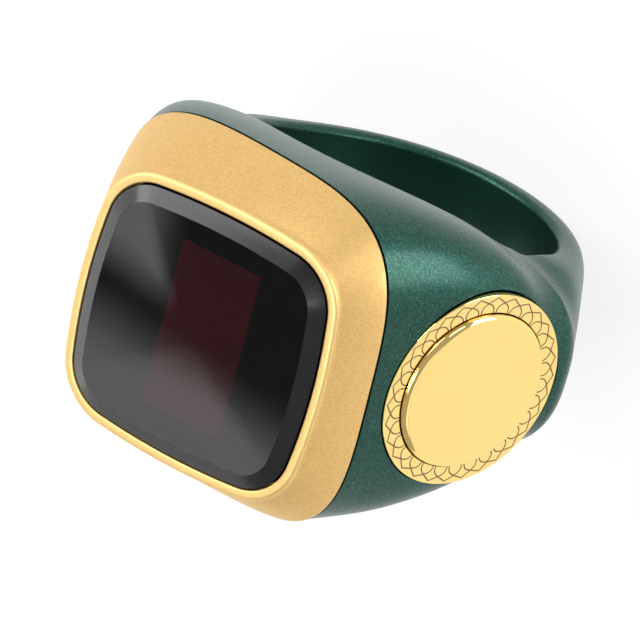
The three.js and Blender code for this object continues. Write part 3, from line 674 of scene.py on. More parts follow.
def new_object(name: str, data: bpy.types.ID) -> bpy.types.Object:
    """Makes an object from its data and puts it in the scene."""
    made = bpy.data.objects.new(name, data)
    bpy.context.scene.collection.objects.link(made)
    return made


def open_slots(piece: bpy.types.Object, count: int) -> None:
    """Gives a piece empty material slots, so that its faces can be numbered."""
    while len(piece.data.materials) < count:
        piece.data.materials.append(None)


def solid(
    name: str,
    points: Sequence[Point],
    faces: Iterable[Sequence[int]],
    place: Matrix | None = None,
) -> bpy.types.Object:
    """Makes a mesh object from points in millimetres.

    Args:
        name: Name of the object.
        points: Corner points in millimetres.
        faces: Corner numbers of each face, facing out.
        place: Frame that the points are given in, in millimetres; the row's own frame if left out.

    Returns:
        The object.
    """
    corners = [Vector(point) for point in points]
    if place is not None:
        corners = [place @ corner for corner in corners]
    mesh = bpy.data.meshes.new(name)
    mesh.from_pydata([corner * MILLIMETRE for corner in corners], [], [tuple(face) for face in faces])
    mesh.update()
    return new_object(name, mesh)


def skin(
    name: str, rings: Sequence[Sequence[Point]], closes_on_itself: bool, place: Matrix | None = None
) -> bpy.types.Object:
    """Joins rings of points into one closed surface.

    Args:
        name: Name of the object.
        rings: Rings with the same number of points.
        closes_on_itself: Whether the last ring joins the first; otherwise both ends are capped.
        place: Frame that the points are given in.

    Returns:
        The object.
    """
    count = len(rings[0])
    points = [point for ring in rings for point in ring]
    faces: list[Sequence[int]] = []
    last = len(rings) if closes_on_itself else len(rings) - 1
    for i in range(last):
        here = i * count
        there = ((i + 1) % len(rings)) * count
        for k in range(count):
            after = (k + 1) % count
            faces.append((here + k, here + after, there + after, there + k))
    if not closes_on_itself:
        faces.append(tuple(reversed(range(count))))
        faces.append(tuple(range((len(rings) - 1) * count, len(rings) * count)))
    return solid(name, points, faces, place)


def turned(
    name: str, profile: Sequence[tuple[float, float]], steps: int, place: Matrix | None = None
) -> bpy.types.Object:
    """Turns a profile about the Z axis.

    Args:
        name: Name of the object.
        profile: Radius and height pairs, going outwards from the axis at the bottom and back to it
            at the top, or once round a ring's section.
        steps: Number of steps in the turn.
        place: Frame that the profile is given in.

    Returns:
        The object.
    """
    angles = [2 * math.pi * k / steps for k in range(steps)]
    points: list[Point] = []
    starts: list[int] = []
    for radius, height in profile:
        starts.append(len(points))
        if radius == 0:
            points.append((0.0, 0.0, height))
        else:
            points.extend((radius * math.cos(a), radius * math.sin(a), height) for a in angles)
    closed = profile[0][0] > 0
    pairs = [(i, (i + 1) % len(profile)) for i in range(len(profile) if closed else len(profile) - 1)]
    faces: list[Sequence[int]] = []
    for low, high in pairs:
        for k in range(steps):
            after = (k + 1) % steps
            bottom = [starts[low]] if profile[low][0] == 0 else [starts[low] + k, starts[low] + after]
            top = [starts[high]] if profile[high][0] == 0 else [starts[high] + after, starts[high] + k]
            if len(bottom) + len(top) > 2:
                faces.append(tuple(bottom + top))
    return solid(name, points, faces, place)


def slab(name: str, outline: Outline, low: float, high: float) -> bpy.types.Object:
    """Extrudes an outline between two heights.

    Args:
        name: Name of the object.
        outline: Points of the outline, anticlockwise.
        low: Height of the underside.
        high: Height of the top.

    Returns:
        The object.
    """
    rings = [[(x, y, low) for x, y in outline], [(x, y, high) for x, y in outline]]
    return skin(name, rings, False)


def carve(piece: bpy.types.Object, cutters: Sequence[bpy.types.Object]) -> None:
    """Cuts solids out of a piece, removes them and welds the slivers that the cuts leave.

    Args:
        piece: The piece that is cut.
        cutters: The solids that are taken away.
    """
    for cutter in cutters:
        step = piece.modifiers.new("cut", "BOOLEAN")
        step.operation = "DIFFERENCE"
        step.solver = "MANIFOLD"
        step.object = cutter
    graph = bpy.context.evaluated_depsgraph_get()
    finished = bpy.data.meshes.new_from_object(piece.evaluated_get(graph))
    finished.name = piece.name
    weld = bmesh.new()
    weld.from_mesh(finished)
    bmesh.ops.remove_doubles(weld, verts=weld.verts, dist=SLIVER)
    bmesh.ops.dissolve_degenerate(weld, edges=weld.edges, dist=SLIVER)
    weld.to_mesh(finished)
    weld.free()
    piece.modifiers.clear()
    piece.data = finished
    for cutter in cutters:
        bpy.data.objects.remove(cutter)


@dataclass(frozen=True)
class Dressing:
    """How a finished mesh becomes a piece of the counter."""

    body: Body
    slot: Slot
    stands_for: tuple[str, ...] = ()
    sharp_degrees: float = 32.0

    def put_on(self, piece: bpy.types.Object, finishes: Sequence[Finish]) -> bpy.types.Object:
        """Gives a piece its finishes, smooth shading and its body.

        Args:
            piece: The piece.
            finishes: Its finishes, in the order of its faces' numbers.

        Returns:
            The piece.
        """
        mesh = piece.data
        numbers = [face.material_index for face in mesh.polygons]
        mesh.materials.clear()
        for finish in finishes:
            mesh.materials.append(finish.material())
        mesh.polygons.foreach_set("material_index", numbers)
        mesh.shade_smooth()
        mesh.set_sharp_from_angle(angle=math.radians(self.sharp_degrees))
        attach(piece, self.body.value)
        if self.stands_for:
            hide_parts(*self.stands_for)
        log.info("%s: %d faces, rides on %s", piece.name, len(mesh.polygons), self.body.value)
        return piece


def number_faces(piece: bpy.types.Object, choose: Callable[[Vector, Vector], int]) -> None:
    """Numbers a piece's faces 0 or 1 by where they are.

    Args:
        piece: The piece.
        choose: Gives the material number from a face's middle in millimetres and its normal.
    """
    open_slots(piece, 2)
    for face in piece.data.polygons:
        face.material_index = choose(face.center / MILLIMETRE, face.normal)


def rounded_rectangle(half_x: float, half_y: float, corner: float, steps: int = 8) -> Outline:
    """Gives the outline of a rectangle with round corners.

    Args:
        half_x: Half width.
        half_y: Half length.
        corner: Corner radius.
        steps: Steps in each corner.

    Returns:
        The outline, anticlockwise.
    """
    points: Outline = []
    centres = (
        (half_x - corner, half_y - corner),
        (corner - half_x, half_y - corner),
        (corner - half_x, corner - half_y),
        (half_x - corner, corner - half_y),
    )
    for quarter, (x, y) in enumerate(centres):
        for i in range(steps + 1):
            angle = (quarter + i / steps) * math.pi / 2
            points.append((x + corner * math.cos(angle), y + corner * math.sin(angle)))
    return points


def bowed_outline(
    half_x: float, half_y: float, bow_x: float, bow_y: float, corner: float, steps: int = 14
) -> Outline:
    """Gives the outline of a rectangle with bowed sides and round corners.

    Args:
        half_x: Half width at the middle of the sides.
        half_y: Half length at the middle of the ends.
        bow_x: Radius of the bowed sides.
        bow_y: Radius of the bowed ends.
        corner: Corner radius.
        steps: Steps along each half side; a corner has twice as many.

    Returns:
        The outline, anticlockwise from the middle of the +X side.
    """
    side_x = (half_x - bow_x, 0.0)
    side_y = (0.0, half_y - bow_y)
    apart = math.hypot(side_x[0] - side_y[0], side_x[1] - side_y[1])
    reach_x, reach_y = bow_x - corner, bow_y - corner
    along = (apart**2 + reach_x**2 - reach_y**2) / (2 * apart)
    across = math.sqrt(reach_x**2 - along**2)
    unit = ((side_y[0] - side_x[0]) / apart, (side_y[1] - side_x[1]) / apart)
    choices = [
        (
            side_x[0] + unit[0] * along + sign * unit[1] * across,
            side_x[1] + unit[1] * along - sign * unit[0] * across,
        )
        for sign in (1, -1)
    ]
    cx, cy = max(choices, key=sum)
    first = math.atan2(cy - side_x[1], cx - side_x[0])
    second = math.atan2(cy - side_y[1], cx - side_y[0])
    quarter: Outline = []
    for i in range(steps):
        angle = first * i / steps
        quarter.append((side_x[0] + bow_x * math.cos(angle), side_x[1] + bow_x * math.sin(angle)))
    for i in range(2 * steps + 1):
        angle = first + (second - first) * i / (2 * steps)
        quarter.append((cx + corner * math.cos(angle), cy + corner * math.sin(angle)))
    for i in range(1, steps + 1):
        angle = second + (math.pi / 2 - second) * i / steps
        quarter.append((side_y[0] + bow_y * math.cos(angle), side_y[1] + bow_y * math.sin(angle)))
    half = quarter + [(-x, y) for x, y in reversed(quarter[:-1])]
    return half + [(x, -y) for x, y in reversed(half[1:-1])]


def inset(outline: Outline, distance: float) -> Outline:
    """Moves a closed outline inwards.

    Args:
        outline: The outline, anticlockwise.
        distance: How far in.

    Returns:
        The new outline, point by point.
    """
    moved: Outline = []
    for i, (x, y) in enumerate(outline):
        x0, y0 = outline[i - 1]
        x1, y1 = outline[(i + 1) % len(outline)]
        length = math.hypot(x1 - x0, y1 - y0)
        moved.append((x - (y1 - y0) / length * distance, y + (x1 - x0) / length * distance))
    return moved


def facing(outline: Outline, points: Outline) -> Outline:
    """Finds the points of an outline that lie in the same directions from the middle as given points.

    Args:
        outline: The outline, star-shaped about the middle.
        points: The points that give the directions.

    Returns:
        One point of the outline for each given point.
    """
    angles = np.array([math.atan2(y, x) for x, y in outline])
    reach = np.array([math.hypot(x, y) for x, y in outline])
    order = np.argsort(angles)
    angles, reach = angles[order], reach[order]
    turned_on = np.concatenate([angles - 2 * math.pi, angles, angles + 2 * math.pi])
    nearness = 1.0 / np.concatenate([reach, reach, reach])
    found: Outline = []
    for x, y in points:
        wanted = math.atan2(y, x)
        i = int(np.searchsorted(turned_on, wanted))
        a, b = turned_on[i - 1], turned_on[i]
        u, v = nearness[i - 1], nearness[i]
        span = math.sin(b - a)
        share = (math.sin(b - wanted) * u + math.sin(wanted - a) * v) / span if span > TINY_ANGLE else u
        found.append((math.cos(wanted) / share, math.sin(wanted) / share))
    return found


@dataclass
class ButtonAxis:
    """The button's own frame on the leaning flank: Z out of the flank, Y up the flank, X along the finger."""

    tilt: float = math.radians(21.2)
    x: float = 12.91
    z: float = 9.93

    def frame(self) -> Matrix:
        """Returns the frame as a matrix in millimetres."""
        out = Vector((math.cos(self.tilt), 0, math.sin(self.tilt)))
        up = Vector((-math.sin(self.tilt), 0, math.cos(self.tilt)))
        along = Vector((0, 1, 0))
        matrix = Matrix((along, up, out)).transposed().to_4x4()
        matrix.translation = Vector((self.x, 0, self.z))
        return matrix


@dataclass
class RingBody:
    """Green ring body: shank, flared shoulders, leaning flanks and the hollow head. Sizes in millimetres."""

    axis: ButtonAxis = field(default_factory=ButtonAxis)
    bore_radius: float = 10.0
    bore_margin: float = 0.02
    rim_round: float = 0.45
    shank_wall: float = 2.3
    flank_margin: float = 0.05
    shoulder_round: float = 1.6
    flare_middle: float = 7.55
    flare_spread: float = 3.58
    flare_height: float = 5.4
    flare_length: float = 8.0
    shank_power: float = 2.8
    flank_power_rise: float = 1.8
    flank_power_height: float = 6.2
    flank_power_length: float = 1.6
    head_power_fall: float = 1.0
    head_power_height: float = 14.0
    head_power_length: float = 2.5
    corner_reach: float = 11.0
    reach_height: float = 1.5
    reach_length: float = 1.5
    seam_height: float = 15.1
    seam_slope_x: float = math.tan(math.radians(10.2))
    seam_slope_y: float = math.tan(math.radians(1.72))
    recess_radius: float = 6.52
    recess_mouth: float = 6.34
    recess_depth: float = 1.21
    recess_edge: float = 0.05
    cavity_half_x: float = 8.8
    cavity_half_y: float = 9.1
    cavity_bow: float = 28.0
    cavity_corner: float = 5.0
    cavity_floor: float = 14.17
    lower_floor: float = 11.2
    slice_step: float = 0.24
    section_points: int = 46
    section_samples: int = 600
    rim_steps: int = 8
    shoulder_steps: int = 40
    shank_steps: int = 80
    blank_above: float = 3.0
    block_half: float = 18.0
    block_top: float = 30.0
    hollow_top: float = 24.0
    recess_flare: float = 6.0
    recess_steps: int = 160
    groove_grow: float = 0.02
    groove_depth: float = 2.2
    lower_half_x: float = 8.0
    lower_half_y: float = 6.9
    lower_corner: float = 2.0
    pocket_rise: float = 1.0
    guide_radius: float = 4.65
    guide_depth: float = 2.93
    guide_steps: int = 96
    chamber_radius: float = 2.6
    chamber_depth: float = 5.6
    chamber_steps: int = 64
    window_half_x: float = 5.2
    window_half_y: float = 0.9
    window_corner: float = 0.12
    window_y: float = -5.35
    window_floor: float = 5.0
    slot_half_x: float = 0.45
    slot_half_y: float = 1.2
    slot_corner: float = 0.1
    slot_x: float = 7.45
    slot_floor: float = 9.9
    opening_top: float = 11.3

    @property
    def shank_radius(self) -> float:
        """Outer radius of the shank."""
        return self.bore_radius + self.shank_wall

    @property
    def flank_end(self) -> tuple[float, float]:
        """Lower end of the flat flank in the side view."""
        reach = self.recess_radius + self.flank_margin
        tilt = self.axis.tilt
        return (self.axis.x + math.sin(tilt) * reach, self.axis.z - math.cos(tilt) * reach)

    @property
    def shoulder_centre(self) -> tuple[float, float]:
        """Centre of the shoulder's arc in the side view."""
        x, z = self.flank_end
        return (
            x - math.cos(self.axis.tilt) * self.shoulder_round,
            z - math.sin(self.axis.tilt) * self.shoulder_round,
        )

    @property
    def under_tilt(self) -> float:
        """Direction in which the straight under-flank faces."""
        x, z = self.shoulder_centre
        return math.atan2(z, x) - math.acos((self.shank_radius - self.shoulder_round) / math.hypot(x, z))

    def flank_half_width(self, z: float | np.ndarray) -> float | np.ndarray:
        """Returns the half width of the flank at a height."""
        return self.axis.x - (z - self.axis.z) * math.tan(self.axis.tilt)

    def half_length(self, z: float | np.ndarray) -> float | np.ndarray:
        """Returns the body's half length along the finger at a height."""
        return self.flare_middle + self.flare_spread * np.tanh((z - self.flare_height) / self.flare_length)

    def corner_power(self, z: float | np.ndarray) -> float | np.ndarray:
        """Returns how tightly the flank rolls into the side faces at a height."""
        rise = 0.5 + 0.5 * np.tanh((z - self.flank_power_height) / self.flank_power_length)
        fall = 0.5 + 0.5 * np.tanh((z - self.head_power_height) / self.head_power_length)
        return self.shank_power + self.flank_power_rise * rise - self.head_power_fall * fall

    def seam_at(self, x: float, y: float) -> float:
        """Returns the height of the sloping seam over a point."""
        return self.seam_height + self.seam_slope_x * x + self.seam_slope_y * y

    @staticmethod
    def depth_under_arc(
        x: np.ndarray, z: np.ndarray, centre: tuple[float, float], radius: float, start: float, end: float
    ) -> np.ndarray:
        """Measures the distance inside an arc and the straight lines that leave its two ends.

        Args:
            x: Places across the ring.
            z: Heights.
            centre: Centre of the arc.
            radius: Radius of the arc.
            start: Angle where the arc starts.
            end: Angle where the arc ends.

        Returns:
            The distances.
        """
        dx, dz = x - centre[0], z - centre[1]
        angle = np.arctan2(dz, dx)
        off = np.where(angle > end, angle - end, np.maximum(0.0, start - angle))
        return radius - np.hypot(dx, dz) * np.cos(off)

    def outline_depth(self, x: np.ndarray, z: np.ndarray) -> np.ndarray:
        """Measures how deep points lie below the outline seen along the finger.

        Args:
            x: Places across the ring.
            z: Heights.

        Returns:
            The depths.
        """
        side = np.abs(x)
        shoulder = self.depth_under_arc(
            side, z, self.shoulder_centre, self.shoulder_round, self.under_tilt, self.axis.tilt
        )
        shank = self.depth_under_arc(side, z, (0.0, 0.0), self.shank_radius, -math.pi / 2, self.under_tilt)
        return np.minimum(shoulder, shank)

    def side_face(self, x: np.ndarray, z: np.ndarray) -> np.ndarray:
        """Finds the body's half length along the finger at points of the side view.

        Args:
            x: Places across the ring.
            z: Heights.

        Returns:
            The half lengths.
        """
        rim = (self.bore_radius + self.rim_round) / np.hypot(x, z)
        thickness = self.outline_depth(x * rim, z * rim)
        step = 0.5 + 0.5 * np.tanh((z - self.reach_height) / self.reach_length)
        reach = thickness + np.maximum(0.0, self.corner_reach - thickness) * step
        share = np.clip(1 - self.outline_depth(x, z) / reach, 0.0, 1.0)
        power = self.corner_power(z)
        return self.half_length(z) * np.maximum(0.0, 1 - share**power) ** (1 / power)

    def outline(self) -> Outline:
        """Returns the side view's outline all round, starting at the middle of the top."""
        top = self.seam_height + self.blank_above
        right: Outline = [(0.0, top), (float(self.flank_half_width(top)), top), self.flank_end]
        cx, cz = self.shoulder_centre
        for i in range(1, self.shoulder_steps + 1):
            angle = self.axis.tilt + (self.under_tilt - self.axis.tilt) * i / self.shoulder_steps
            round_x = self.shoulder_round * math.cos(angle)
            round_z = self.shoulder_round * math.sin(angle)
            right.append((cx + round_x, cz + round_z))
        for i in range(self.shank_steps + 1):
            angle = self.under_tilt + (-math.pi / 2 - self.under_tilt) * i / self.shank_steps
            right.append((self.shank_radius * math.cos(angle), self.shank_radius * math.sin(angle)))
        fine: Outline = []
        for (x0, z0), (x1, z1) in zip(right, right[1:]):
            steps = max(1, round(math.hypot(x1 - x0, z1 - z0) / self.slice_step))
            fine.extend((x0 + (x1 - x0) * i / steps, z0 + (z1 - z0) * i / steps) for i in range(steps))
        fine.append(right[-1])
        return fine + [(-x, z) for x, z in reversed(fine[1:-1])]

    def section(self, x: float, z: float) -> list[Point]:
        """Finds one slice of the body in the plane through the finger axis and a point of the outline.

        Args:
            x: Place of the outline point across the ring.
            z: Its height.

        Returns:
            The slice's points once round.
        """
        reach = math.hypot(x, z)
        dir_x, dir_z = x / reach, z / reach
        start = self.bore_radius + self.rim_round
        share = 1 - (1 - np.linspace(0, 1, self.section_samples)) ** 3
        distance = start + (reach - start) * share
        length = self.side_face(dir_x * distance, dir_z * distance)
        distance = np.append(distance, reach)
        length = np.append(length, 0.0)
        run = np.concatenate([[0.0], np.cumsum(np.hypot(np.diff(distance), np.diff(length)))])
        places = np.linspace(0, run[-1], self.section_points)
        outer_d = np.interp(places, run, distance)
        outer_y = np.interp(places, run, length)
        turn = np.linspace(math.pi / 2, 0, self.rim_steps)[:-1]
        edge_d = start - self.rim_round * np.sin(turn)
        edge_y = outer_y[0] - self.rim_round * (1 - np.cos(turn))
        half_d = np.concatenate([edge_d, outer_d])
        half_y = np.concatenate([edge_y, outer_y])
        full_d = np.concatenate([half_d, half_d[-2::-1]])
        full_y = np.concatenate([half_y, -half_y[-2::-1]])
        return [(dir_x * d, y, dir_z * d) for d, y in zip(full_d, full_y)]

    def above_seam(self) -> bpy.types.Object:
        """Returns everything above the sloping seam as a block."""
        half = self.block_half
        corners = ((-half, -half), (half, -half), (half, half), (-half, half))
        low = [(x, y, self.seam_at(x, y)) for x, y in corners]
        high = [(x, y, self.block_top) for x, y in corners]
        return skin("above_seam", [low, high], False)

    def cavity_edge(self, grow: float = 0.0) -> Outline:
        """Returns the outline of the head's cavity."""
        return bowed_outline(
            self.cavity_half_x + grow,
            self.cavity_half_y + grow,
            self.cavity_bow + grow,
            self.cavity_bow + grow,
            self.cavity_corner + grow,
        )

    def pocket(self, radius: float, depth: float) -> Outline:
        """Returns the profile of a round pocket that is sunk into the flank."""
        return [(0, -depth), (radius, -depth), (radius, self.pocket_rise), (0, self.pocket_rise)]

    def hollows(self) -> list[bpy.types.Object]:
        """Returns the solids that are cut out of the blank."""
        place = self.axis.frame()
        top = self.hollow_top
        head = self.cavity_edge()
        groove_floor = self.seam_height - self.groove_depth
        recess = [
            (0, -self.recess_depth),
            (self.recess_mouth, -self.recess_depth),
            (self.recess_mouth, -self.recess_edge),
            (self.recess_mouth + self.recess_flare, self.recess_flare - self.recess_edge),
            (0, self.recess_flare),
        ]
        guide = self.pocket(self.guide_radius, self.guide_depth)
        chamber = self.pocket(self.chamber_radius, self.chamber_depth)
        lower = rounded_rectangle(self.lower_half_x, self.lower_half_y, self.lower_corner)
        window = rounded_rectangle(
            self.window_half_x, self.window_half_y, self.window_corner, SMALL_CORNER_STEPS
        )
        slot = rounded_rectangle(self.slot_half_x, self.slot_half_y, self.slot_corner, SMALL_CORNER_STEPS)
        window = [(x, y + self.window_y) for x, y in window]
        slot = [(x + self.slot_x, y) for x, y in slot]
        return [
            self.above_seam(),
            slab("head_cavity", head, self.cavity_floor, top),
            slab("foot_groove", inset(head, -self.groove_grow), groove_floor, top),
            slab("lower_cavity", lower, self.lower_floor, top),
            turned("button_recess", recess, self.recess_steps, place),
            turned("guide_pocket", guide, self.guide_steps, place),
            turned("switch_chamber", chamber, self.chamber_steps, place),
            slab("insert_window", window, self.window_floor, self.opening_top),
            slab("cable_slot", slot, self.slot_floor, self.opening_top),
        ]

    def build(self) -> bpy.types.Object:
        """Builds the ring body in its flake coat.

        Returns:
            The piece.
        """
        slices = [self.section(x, z) for x, z in self.outline()]
        piece = skin("ring_shell", slices, True)
        carve(piece, self.hollows())

        def coat(middle: Vector, normal: Vector) -> int:
            """Numbers the bore's own faces 1."""
            near = math.hypot(middle.x, middle.z) < self.bore_radius + self.bore_margin
            faces_in = normal.x * middle.x + normal.z * middle.z < 0
            return 1 if near and faces_in else 0

        number_faces(piece, coat)
        dressing = Dressing(Body.HOUSING, Slot.GREEN_COAT, ("ring_body",))
        return dressing.put_on(piece, [GREEN_COAT, BORE_COAT])


@dataclass
class Bezel:
    """Gold bezel round the display: blasted band over the sloping seam, level lip. Sizes in millimetres."""

    ring: RingBody
    lip_height: float = 20.1
    lip_half_x: float = 8.12
    lip_half_y: float = 7.81
    lip_bow_x: float = 35.0
    lip_bow_y: float = 45.0
    lip_corner: float = 3.23
    lip_width: float = 0.64
    lip_round: float = 0.26
    band_crown: float = 0.12
    foot_gap: float = 0.21
    foot_round: float = 0.07
    ledge_height: float = 18.7
    ledge_thickness: float = 0.4
    ledge_width: float = 0.5
    spigot_thickness: float = 0.6
    spigot_depth: float = 0.6
    spigot_top: float = 17.5
    outline_quarter: int = 90
    seam_fineness: int = 40
    seam_stride: int = 4
    seam_rounds: int = 12
    foot_turns: tuple[float, ...] = (0.0, 0.35, 0.7, 1.0)
    band_steps: int = 14
    band_start: float = 0.02
    lip_steps: int = 6
    inner_steps: int = 4
    spigot_gap: float = 0.05

    def display_outline(self, grow: float) -> Outline:
        """Returns the display opening's outline, grown by a distance."""
        return bowed_outline(
            self.lip_half_x + grow,
            self.lip_half_y + grow,
            self.lip_bow_x + grow,
            self.lip_bow_y + grow,
            self.lip_corner + grow,
        )

    def seam_point(self, turn: float) -> tuple[float, float]:
        """Finds where the seam meets the body's surface.

        Args:
            turn: Turn angle round the head.

        Returns:
            The point, seen from above.
        """
        sign_x = math.copysign(1, math.cos(turn))
        sign_y = math.copysign(1, math.sin(turn))
        x, y = 0.0, 0.0
        tilt = self.ring.axis.tilt
        reach = self.ring.corner_reach
        for _ in range(self.seam_rounds):
            z = self.ring.seam_at(x, y)
            power = float(self.ring.corner_power(z))
            half = float(self.ring.flank_half_width(z))
            middle = max(0.0, 1 - half * math.cos(tilt) / reach)
            share = max(abs(math.cos(turn)) ** (2 / power), middle)
            x = sign_x * max(0.0, half - (1 - share) * reach / math.cos(tilt))
            y = sign_y * float(self.ring.half_length(z)) * max(0.0, 1 - share**power) ** (1 / power)
        return x, y

    def seam_outline(self) -> Outline:
        """Returns the seam's outline seen from above, with even spacing."""
        count = self.seam_fineness * self.outline_quarter
        turns = [2 * math.pi * (i + 0.5) / count for i in range(0, count, self.seam_stride)]
        rough = np.array([self.seam_point(turn) for turn in turns])
        closed = np.vstack([rough, rough[:1]])
        run = np.concatenate([[0.0], np.cumsum(np.hypot(*np.diff(closed, axis=0).T))])
        places = np.linspace(0, run[-1], 4 * self.outline_quarter + 1)[:-1]
        return list(zip(np.interp(places, run, closed[:, 0]), np.interp(places, run, closed[:, 1])))

    def rings(self) -> tuple[list[list[Point]], tuple[int, int]]:
        """Works out the rings of the bezel's skin.

        Returns:
            The rings, and the first and last ring number of the lip.
        """
        seam = self.seam_outline()

        def over(outline: Outline, height: float) -> list[Point]:
            """Lays an outline at one height."""
            return [(x, y, height) for x, y in facing(outline, seam)]

        def sloping(outline: Outline, rise: float) -> list[Point]:
            """Lays an outline along the seam's slope."""
            return [(x, y, self.ring.seam_at(x, y) + rise) for x, y in facing(outline, seam)]

        low = [(x, y, self.ring.seam_at(x, y) + self.foot_gap) for x, y in seam]
        high = over(self.display_outline(self.lip_width), self.lip_height - self.lip_round)
        rings: list[list[Point]] = []
        for turn in self.foot_turns:
            angle = turn * math.pi / 2
            shrink = self.foot_round * (1 - math.sin(angle))
            lift = self.foot_round * (1 - math.cos(angle))
            rings.append(
                [
                    (x - shrink * x / math.hypot(x, y), y - shrink * y / math.hypot(x, y), z + lift)
                    for x, y, z in low
                ]
            )
        foot = rings[-1]
        for i in range(1, self.band_steps):
            share = self.band_start + (1 - self.band_start) * i / self.band_steps
            crown = 4 * share * (1 - share) * self.band_crown
            band = []
            for (x, y, z), (hx, hy, hz) in zip(foot, high):
                reach = math.hypot(x, y)
                band.append(
                    (
                        x + (hx - x) * share + crown * x / reach,
                        y + (hy - y) * share + crown * y / reach,
                        z + (hz - z) * share,
                    )
                )
            rings.append(band)
        lip_start = len(rings) + 1
        for i in range(self.lip_steps + 1):
            angle = i / self.lip_steps * math.pi / 2
            outline = self.display_outline(self.lip_width - self.lip_round * (1 - math.cos(angle)))
            rings.append(over(outline, self.lip_height - self.lip_round * (1 - math.sin(angle))))
        half = self.lip_round / 2
        for i in range(self.inner_steps + 1):
            angle = i / self.inner_steps * math.pi / 2
            outline = self.display_outline(half * (1 - math.sin(angle)))
            rings.append(over(outline, self.lip_height - half * (1 - math.cos(angle))))
        lip_end = len(rings)
        spigot_outer = inset(self.ring.cavity_edge(), self.spigot_gap)
        spigot_inner = inset(self.ring.cavity_edge(), self.spigot_gap + self.spigot_thickness)
        rings.append(over(self.display_outline(0), self.ledge_height))
        rings.append(over(self.display_outline(-self.ledge_width), self.ledge_height))
        rings.append(over(self.display_outline(-self.ledge_width), self.ledge_height - self.ledge_thickness))
        rings.append(over(spigot_inner, self.spigot_top))
        rings.append(sloping(spigot_inner, -self.spigot_depth))
        rings.append(sloping(spigot_outer, -self.spigot_depth))
        rings.append(sloping(spigot_outer, self.foot_gap))
        return rings, (lip_start, lip_end)

    def build(self) -> bpy.types.Object:
        """Builds the bezel, blasted on its band, with a painted highlight on its lip: a brighter copy of the
        blasted gold.

        Returns:
            The piece.
        """
        rings, (lip_start, lip_end) = self.rings()
        piece = skin("bezel_band", rings, True)
        count = len(rings[0])
        open_slots(piece, 2)
        # The lip faces take the brighter gold copy, which paints a highlight on the lip.
        for number, face in enumerate(piece.data.polygons):
            face.material_index = 1 if lip_start <= number // count < lip_end else 0
        dressing = Dressing(Body.HOUSING, Slot.GOLD_BLASTED, ("bezel",), sharp_degrees=40)
        return dressing.put_on(piece, [BLASTED_GOLD, LIP_GOLD_PAINTED_HIGHLIGHT])


class GlassFace(Enum):
    """The faces of the display glass by what is on them."""

    CLEAR = 0
    PRINT = 1
    WINDOW = 2
    BEVEL = 3


@dataclass
class DisplayGlass:
    """Bevelled display glass, printed black underneath round its window. Sizes in millimetres."""

    bezel: Bezel
    gap: float = 0.11
    top: float = 20.6
    thickness: float = 1.7
    crown: float = 0.05
    bevel_width: float = 0.92
    bevel_height: float = 0.46
    bevel_round: float = 0.05
    foot_chamfer: float = 0.08
    bevel_steps: int = 4
    crown_steps: int = 8
    window_half_x: float = 2.79
    window_half_y: float = 5.3
    window_x: float = 0.0
    window_y: float = -0.3

    def build(self) -> bpy.types.Object:
        """Builds the glass with the display window under it.

        Returns:
            The piece.
        """
        bottom = self.top - self.thickness
        rim = self.top - self.crown
        shoulder = rim - self.bevel_height

        def ring(inward: float, height: float) -> list[Point]:
            """Lays the glass outline at one height."""
            return [(x, y, height) for x, y in self.bezel.display_outline(-self.gap - inward)]

        rings = [
            ring(self.foot_chamfer, bottom),
            ring(0.0, bottom + self.foot_chamfer),
            ring(0.0, shoulder - self.bevel_round),
            ring(self.bevel_round * EDGE_MIDDLE, shoulder),
        ]
        for i in range(1, self.bevel_steps + 1):
            share = i / self.bevel_steps
            rings.append(ring(self.bevel_width * share, shoulder + self.bevel_height * share))
        top_ring = rings[-1]
        top_start = len(rings) - 1
        for i in range(1, self.crown_steps):
            shrink = 1 - i / self.crown_steps
            rise = self.crown * (1 - shrink**2)
            rings.append([(x * shrink, y * shrink, rim + rise) for x, y, _ in top_ring])
        count = len(rings[0])
        points = [point for one in rings for point in one]
        faces: list[Sequence[int]] = []
        kinds: list[int] = []
        for i in range(len(rings) - 1):
            for k in range(count):
                after = (k + 1) % count
                faces.append((i * count + k, i * count + after, (i + 1) * count + after, (i + 1) * count + k))
                kind = GlassFace.PRINT if i < 2 else GlassFace.BEVEL if i < top_start else GlassFace.CLEAR
                kinds.append(kind.value)
        middle = len(points)
        points.append((0.0, 0.0, self.top))
        start = (len(rings) - 1) * count
        for k in range(count):
            faces.append((middle, start + k, start + (k + 1) % count))
            kinds.append(GlassFace.CLEAR.value)
        window_start = len(points)
        corners = facing(
            [
                (self.window_half_x, self.window_half_y),
                (-self.window_half_x, self.window_half_y),
                (-self.window_half_x, -self.window_half_y),
                (self.window_half_x, -self.window_half_y),
            ],
            [(x, y) for x, y, _ in rings[0]],
        )
        points.extend((x + self.window_x, y + self.window_y, bottom) for x, y in corners)
        for k in range(count):
            after = (k + 1) % count
            faces.append((window_start + k, window_start + after, after, k))
            kinds.append(GlassFace.PRINT.value)
        faces.append(tuple(window_start + k for k in reversed(range(count))))
        kinds.append(GlassFace.WINDOW.value)
        piece = solid("display_glass_bevelled", points, faces)
        open_slots(piece, len(GlassFace))
        piece.data.polygons.foreach_set("material_index", kinds)
        dressing = Dressing(Body.HOUSING, Slot.BLACK_GLASS, ("display_glass",), sharp_degrees=15)
        return dressing.put_on(piece, [CLEAR_GLASS, BLACK_PRINT, DISPLAY_WINDOW, GROUND_BEVEL])


